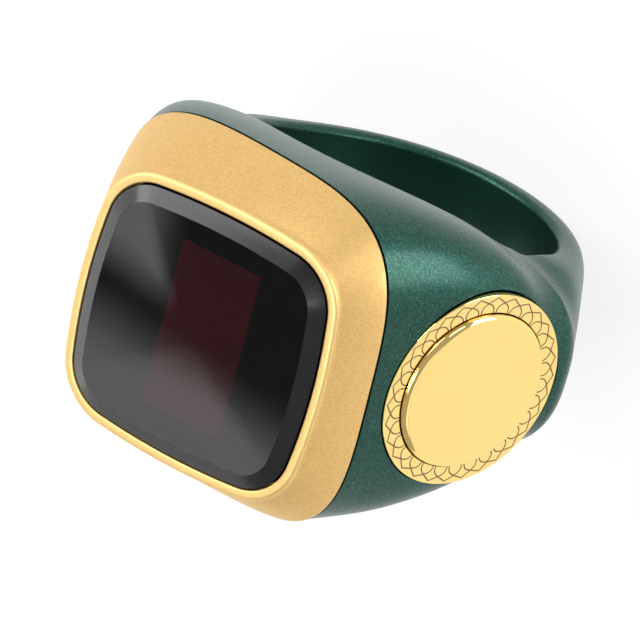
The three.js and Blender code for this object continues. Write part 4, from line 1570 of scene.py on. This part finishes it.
@dataclass
class TrimRing:
    """Polished trim round the button, engraved with overlapping petals. Sizes in millimetres."""

    axis: ButtonAxis
    inner: float = 5.09
    outer: float = 6.25
    thickness: float = 1.0
    chamfer: float = 0.035
    petals: int = 30
    first_tip_degrees: float = -0.5
    line_width: float = 0.09
    line_depth: float = 0.02
    deepest_share: float = 0.9
    shallowest: float = 0.0005
    flat_share: float = 0.8
    petal_side: tuple[tuple[float, float], ...] = (
        (0.41, 5.08),
        (0.405, 5.20),
        (0.39, 5.33),
        (0.355, 5.43),
        (0.29, 5.53),
        (0.16, 5.65),
        (0.0, 5.75),
        (-0.25, 5.90),
        (-0.5, 6.07),
    )

    def petal_line(self, number: int) -> Outline:
        """Draws one engraved line: up one side of a petal, over its tip and down the other side.

        Args:
            number: Number of the petal.

        Returns:
            The line's points.
        """
        pitch = 2 * math.pi / self.petals
        tip = math.radians(self.first_tip_degrees) + number * pitch
        side = [((share + 0.5) * pitch, radius) for share, radius in self.petal_side]
        whole = side + [(-turn, radius) for turn, radius in reversed(side[:-1])]
        return [(radius * math.cos(tip + turn), radius * math.sin(tip + turn)) for turn, radius in whole]

    def graver_cut(self, lines: Sequence[Outline]) -> bpy.types.Object:
        """Makes the solid that a graver takes out along lines.

        Args:
            lines: The lines, clear of each other.

        Returns:
            The solid to cut away.
        """
        points: list[Point] = []
        faces: list[Sequence[int]] = []
        for line in lines:
            start = len(points)
            for i, (x, y) in enumerate(line):
                x0, y0 = line[max(0, i - 1)]
                x1, y1 = line[min(len(line) - 1, i + 1)]
                length = math.hypot(x1 - x0, y1 - y0)
                across = (-(y1 - y0) / length * self.line_width, (x1 - x0) / length * self.line_width)
                height = self.line_depth
                points.append((x + across[0], y + across[1], height))
                points.append((x - across[0], y - across[1], height))
                points.append((x, y, -self.line_depth))
            for i in range(len(line) - 1):
                a = start + 3 * i
                b = a + 3
                faces.append((a, a + 1, b + 1, b))
                faces.append((a + 1, a + 2, b + 2, b + 1))
                faces.append((a + 2, a, b, b + 2))
            end = start + 3 * (len(line) - 1)
            faces.append((start, start + 2, start + 1))
            faces.append((end, end + 1, end + 2))
        return solid("graver", points, faces, self.axis.frame())

    def build(self) -> bpy.types.Object:
        """Builds the trim ring with its engraving.

        Returns:
            The piece.
        """
        place = self.axis.frame()
        edge = self.chamfer
        soft = edge * EDGE_MIDDLE
        profile = [
            (self.inner, -self.thickness),
            (self.outer, -self.thickness),
            (self.outer, -edge),
            (self.outer - soft, -soft),
            (self.outer - edge, 0.0),
            (self.inner + edge, 0.0),
            (self.inner + soft, -soft),
            (self.inner, -edge),
        ]
        piece = turned("petal_trim", profile, CIRCLE_STEPS, place)
        lines = [self.petal_line(number) for number in range(self.petals)]
        carve(piece, [self.graver_cut(lines[0::2]), self.graver_cut(lines[1::2])])
        back = place.inverted()

        def engraved(middle: Vector, normal: Vector) -> int:
            """Numbers the groove walls 1; they take the painted shade of the grooves."""
            spot = back @ middle
            radius = math.hypot(spot.x, spot.y)
            sunk = -self.deepest_share * self.line_depth < spot.z < -self.shallowest
            clear = self.inner + edge < radius < self.outer - edge
            return 1 if sunk and clear else 0

        number_faces(piece, engraved)
        dressing = Dressing(Body.HOUSING, Slot.GOLD_POLISHED, ("trim_ring",), sharp_degrees=20)
        # The groove walls get the dark finish that paints shade into the engraving.
        dressing.put_on(piece, [POLISHED_GOLD, ENGRAVED_GROOVE_SHADE])
        out = place.to_3x3() @ Vector((0, 0, 1))
        for face in piece.data.polygons:
            face.use_smooth = face.normal.dot(out) < self.flat_share
        return piece


@dataclass
class ButtonCap:
    """Polished push button with a soft rounded edge, on its grooved stem. Sizes in millimetres."""

    axis: ButtonAxis
    radius: float = 5.02
    proud: float = 0.35
    thickness: float = 1.0
    edge_width: float = 0.45
    edge_height: float = 0.30
    stem_radius: float = 1.3
    stem_length: float = 3.4
    neck_radius: float = 1.0
    groove_radius: float = 0.95
    groove_at: float = 2.2
    clip_seat: float = 2.93
    tip_chamfer: float = 0.1
    groove_half: float = 0.22
    under_chamfer: float = 0.15
    face_margin: float = 0.35
    edge_steps: int = 16

    def build(self) -> bpy.types.Object:
        """Builds the cap and its stem.

        Returns:
            The piece.
        """
        under = self.proud - self.thickness
        profile = [
            (0.0, -self.stem_length),
            (self.neck_radius - self.tip_chamfer, -self.stem_length),
            (self.neck_radius, -self.stem_length + self.tip_chamfer),
            (self.neck_radius, -self.clip_seat),
            (self.stem_radius, -self.clip_seat),
            (self.stem_radius, -self.groove_at - self.groove_half),
            (self.groove_radius, -self.groove_at - self.groove_half),
            (self.groove_radius, -self.groove_at + self.groove_half),
            (self.stem_radius, -self.groove_at + self.groove_half),
            (self.stem_radius, under),
            (self.radius - self.under_chamfer, under),
            (self.radius, under + self.under_chamfer),
        ]
        for i in range(self.edge_steps + 1):
            angle = i / self.edge_steps * math.pi / 2
            profile.append(
                (
                    self.radius - self.edge_width * (1 - math.cos(angle)),
                    self.proud - self.edge_height * (1 - math.sin(angle)),
                )
            )
        profile.append((self.radius - self.edge_width - self.face_margin, self.proud))
        profile.append((0.0, self.proud))
        piece = turned("button_cap_polished", profile, CIRCLE_STEPS, self.axis.frame())
        dressing = Dressing(Body.BUTTON, Slot.GOLD_POLISHED, ("button_cap",), sharp_degrees=35)
        return dressing.put_on(piece, [POLISHED_GOLD])


@dataclass
class ReturnSpring:
    """Coiled return spring under the cap. Sizes in millimetres."""

    axis: ButtonAxis
    radius: float = 2.0
    wire: float = 0.24
    low: float = -1.75
    high: float = -0.80
    turns: float = 2.5
    travel: float = 0.4
    turn_steps: int = 24
    wire_steps: int = 10

    def coil_ring(self, share: float) -> list[Point]:
        """Lays one ring of points round the wire.

        Args:
            share: How far along the wire, from 0 to 1.

        Returns:
            The ring's points.
        """
        run = 2 * math.pi * self.radius * self.turns
        slope = math.atan2(self.high - self.low, run)
        angle = share * self.turns * 2 * math.pi
        outward = Vector((math.cos(angle), math.sin(angle), 0.0))
        lean = math.sin(slope)
        rising = Vector((math.sin(angle) * lean, -math.cos(angle) * lean, math.cos(slope)))
        middle = outward * self.radius + Vector((0.0, 0.0, self.low + (self.high - self.low) * share))
        ring: list[Point] = []
        for k in range(self.wire_steps):
            turn = 2 * math.pi * k / self.wire_steps
            spot = middle + (outward * math.cos(turn) - rising * math.sin(turn)) * (self.wire / 2)
            ring.append((spot.x, spot.y, spot.z))
        return ring

    def build(self) -> bpy.types.Object:
        """Builds the spring.

        Returns:
            The piece.
        """
        place = self.axis.frame()
        count = round(self.turns * self.turn_steps)
        rings = [self.coil_ring(i / count) for i in range(count + 1)]
        piece = skin("return_spring", rings, False, place)
        Dressing(Body.HOUSING, Slot.STEEL, ("button_spring",)).put_on(piece, [PLAIN_STEEL])
        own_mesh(piece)
        return piece


@dataclass
class InnerWorks:
    """The CAD pieces that keep their shape and only get a better finish."""

    def build(self) -> None:
        """Dresses every node by its material slot."""
        slots = {part["node"]: Slot(part["material_slot"]) for part in frame["record"]["subparts"]}
        for name, node in frame["nodes"].items():
            finish = SLOT_FINISH[slots[name]]
            node.data.materials.clear()
            node.data.materials.append(finish.material())
            log.info("%s: node dressed in %s", name, finish.title)


class StageSheet:
    """The node tree of the floor, the card or the room."""

    def __init__(self, owner: bpy.types.Material | bpy.types.World) -> None:
        """Starts an empty sheet.

        Args:
            owner: The material or world that the sheet belongs to.
        """
        owner.use_nodes = True
        self.tree = owner.node_tree
        self.tree.nodes.clear()

    def fill(self, socket: bpy.types.NodeSocket, value: float | tuple | bpy.types.NodeSocket) -> None:
        """Sets an input, or links it where the value is a socket."""
        if isinstance(value, bpy.types.NodeSocket):
            self.tree.links.new(value, socket)
        else:
            socket.default_value = value

    def add(self, kind: str, **inputs: float | tuple | bpy.types.NodeSocket) -> bpy.types.Node:
        """Adds a node.

        Args:
            kind: Blender's name of the node.
            **inputs: Input names in lower case with underscores, with a value or a socket.

        Returns:
            The new node.
        """
        node = self.tree.nodes.new(kind)
        for name, value in inputs.items():
            self.fill(node.inputs[name.replace("_", " ").title()], value)
        return node

    def work(
        self, operation: str, first: bpy.types.NodeSocket, second: float | bpy.types.NodeSocket
    ) -> bpy.types.NodeSocket:
        """Combines two values.

        Args:
            operation: Blender's name of the operation.
            first: The first value.
            second: The second value.

        Returns:
            The result.
        """
        node = self.add("ShaderNodeMath")
        node.operation = operation
        self.fill(node.inputs[0], first)
        self.fill(node.inputs[1], second)
        return node.outputs[0]

    def mix(
        self, share: bpy.types.NodeSocket, first: bpy.types.Node, second: bpy.types.Node
    ) -> bpy.types.NodeSocket:
        """Mixes two shaders.

        Args:
            share: 0 for the first shader, 1 for the second.
            first: A shader node.
            second: The other shader node.

        Returns:
            The mixed shader.
        """
        node = self.add("ShaderNodeMixShader")
        for socket, value in zip(node.inputs, (share, first.outputs[0], second.outputs[0])):
            self.fill(socket, value)
        return node.outputs[0]


@dataclass(frozen=True)
class Lamp:
    """A soft rectangular lamp that faces the object. Place and size in metres, power in watts."""

    name: str
    place: Point
    size: tuple[float, float]
    watts: float

    def hang(self) -> None:
        """Puts the lamp in the scene."""
        data = bpy.data.lights.new(self.name, "AREA")
        data.shape = "RECTANGLE"
        data.size, data.size_y = self.size
        data.energy = self.watts
        lamp = new_object(self.name, data)
        lamp.location = self.place
        lamp.rotation_euler = Vector(self.place).to_track_quat("Z", "Y").to_euler()
        lamp.visible_camera = False


LAMPS = (
    Lamp("overhead", (0.036, -0.027, 0.45), (0.18, 0.18), 1.0),
    Lamp("back_left", (-0.27, 0.30, 0.36), (0.60, 0.24), 1.9),
    Lamp("right", (0.36, -0.16, 0.075), (0.26, 0.12), 0.08),
    Lamp("back_right", (0.27, 0.28, 0.13), (0.12, 0.12), 0.16),
    Lamp("low_right", (0.037, 0.022, 0.005), (0.022, 0.012), 0.005),
    Lamp("left", (-0.36, -0.16, 0.06), (0.30, 0.16), 0.20),
    Lamp("front", (-0.17, -0.36, 0.07), (0.30, 0.16), 0.08),
    Lamp("corner", (-0.37, 0.055, 0.245), (0.24, 0.24), 0.25),
)


@dataclass
class Studio:
    """Pale floor, soft lamps and the photograph's camera. Sizes in metres."""

    floor_height: float = -0.01231
    floor_reach: float = 0.6
    floor_colour: tuple[float, ...] = (0.95, 0.95, 0.95, 1.0)
    floor_glow: float = 0.8
    room_light: float = 0.45
    white: tuple[float, ...] = (1.0, 1.0, 1.0, 1.0)
    card_place: Point = (-0.240, -0.220, 0.45)
    card_half: float = 0.10
    card_dark: float = 0.12
    card_bright: float = 2.2
    near_fade_y: tuple[float, float] = (0.002, -0.020)
    corner_fade_x: tuple[float, float] = (-0.003, -0.018)
    corner_fade_y: tuple[float, float] = (0.000, 0.013)
    lens: float = 256.26
    sensor_width: float = 36.0
    clip_near: float = 0.01
    clip_far: float = 10.0
    eye: Point = (0.116324, 0.106879, 0.229816)
    right: Point = (0.806851, 0.243877, -0.538066)
    up: Point = (-0.412395, 0.884679, -0.217424)
    back: Point = (0.422991, 0.397325, 0.814378)

    def floor(self) -> None:
        """Lays the pale floor, which keeps the object's shadow."""
        half = self.floor_reach
        mesh = bpy.data.meshes.new("floor")
        corners = ((-half, -half), (half, -half), (half, half), (-half, half))
        mesh.from_pydata([(x, y, self.floor_height) for x, y in corners], [], [(0, 1, 2, 3)])
        plate = new_object("floor", mesh)
        material = bpy.data.materials.new("pale floor")
        sheet = StageSheet(material)
        paint = sheet.add("ShaderNodeBsdfDiffuse", color=self.floor_colour)
        glow = sheet.add("ShaderNodeEmission", strength=1.0)
        rays = sheet.add("ShaderNodeLightPath").outputs
        mirrored = sheet.work("MAXIMUM", rays["Is Glossy Ray"], rays["Is Transmission Ray"])
        seen = sheet.work("MAXIMUM", rays["Is Camera Ray"], mirrored)
        share = sheet.work("MULTIPLY", seen, self.floor_glow)
        sheet.add("ShaderNodeOutputMaterial", surface=sheet.mix(share, paint, glow))
        mesh.materials.append(material)

    def ceiling_card(self) -> None:
        """Hangs a card over the far left whose light fades softly: bright near, dark in the middle."""
        half = self.card_half
        mesh = bpy.data.meshes.new("ceiling_card")
        corners = [(-half, -half, 0), (-half, half, 0), (half, half, 0), (half, -half, 0)]
        mesh.from_pydata(corners, [], [(0, 1, 2, 3)])
        card = new_object("ceiling_card", mesh)
        card.location = self.card_place
        card.visible_camera = False
        material = bpy.data.materials.new("feathered card")
        sheet = StageSheet(material)
        place = sheet.add("ShaderNodeTexCoord").outputs["Object"]
        split = sheet.add("ShaderNodeSeparateXYZ", vector=place)

        def fade(axis: str, edges: tuple[float, float]) -> bpy.types.NodeSocket:
            """Fades from dark to lit between two places along one axis of the card."""
            dark, lit = edges
            node = sheet.add("ShaderNodeMapRange", value=split.outputs[axis], from_min=dark, from_max=lit)
            node.interpolation_type = "SMOOTHSTEP"
            return node.outputs["Result"]

        near = fade("Y", self.near_fade_y)
        corner = sheet.work("MULTIPLY", fade("X", self.corner_fade_x), fade("Y", self.corner_fade_y))
        lit = sheet.add(
            "ShaderNodeMapRange",
            value=sheet.work("MAXIMUM", near, corner),
            to_min=self.card_dark,
            to_max=self.card_bright,
        )
        glow = sheet.add("ShaderNodeEmission", strength=lit.outputs["Result"])
        sheet.add("ShaderNodeOutputMaterial", surface=glow.outputs[0])
        mesh.materials.append(material)

    def world(self) -> None:
        """Fills the room with plain soft light, and shows it white to the camera."""
        world = bpy.data.worlds.new("studio")
        bpy.context.scene.world = world
        sheet = StageSheet(world)
        room = sheet.add("ShaderNodeBackground", color=self.white, strength=self.room_light)
        backdrop = sheet.add("ShaderNodeBackground", color=self.white, strength=1.0)
        rays = sheet.add("ShaderNodeLightPath").outputs
        sheet.add("ShaderNodeOutputWorld", surface=sheet.mix(rays["Is Camera Ray"], room, backdrop))

    def camera(self) -> None:
        """Places the camera where the photograph was taken from."""
        data = bpy.data.cameras.new("photo_camera")
        data.lens = self.lens
        data.sensor_width = self.sensor_width
        data.clip_start = self.clip_near
        data.clip_end = self.clip_far
        camera = new_object("photo_camera", data)
        matrix = Matrix((self.right, self.up, self.back)).transposed().to_4x4()
        matrix.translation = Vector(self.eye)
        camera.matrix_world = matrix
        bpy.context.scene.camera = camera

    def build(self) -> None:
        """Sets the whole studio."""
        bpy.context.scene.view_settings.view_transform = "Standard"
        self.floor()
        self.world()
        self.ceiling_card()
        for lamp in LAMPS:
            lamp.hang()
        self.camera()


def main() -> None:
    """Builds the counter's pieces in order and dresses the rest."""
    logging.basicConfig(level=logging.INFO, format="%(message)s")
    Studio().build()
    InnerWorks().build()
    ring = RingBody()
    ring.build()
    bezel = Bezel(ring)
    bezel.build()
    DisplayGlass(bezel).build()
    TrimRing(ring.axis).build()
    ButtonCap(ring.axis).build()
    ReturnSpring(ring.axis).build()


if __name__ == "__main__":
    main()
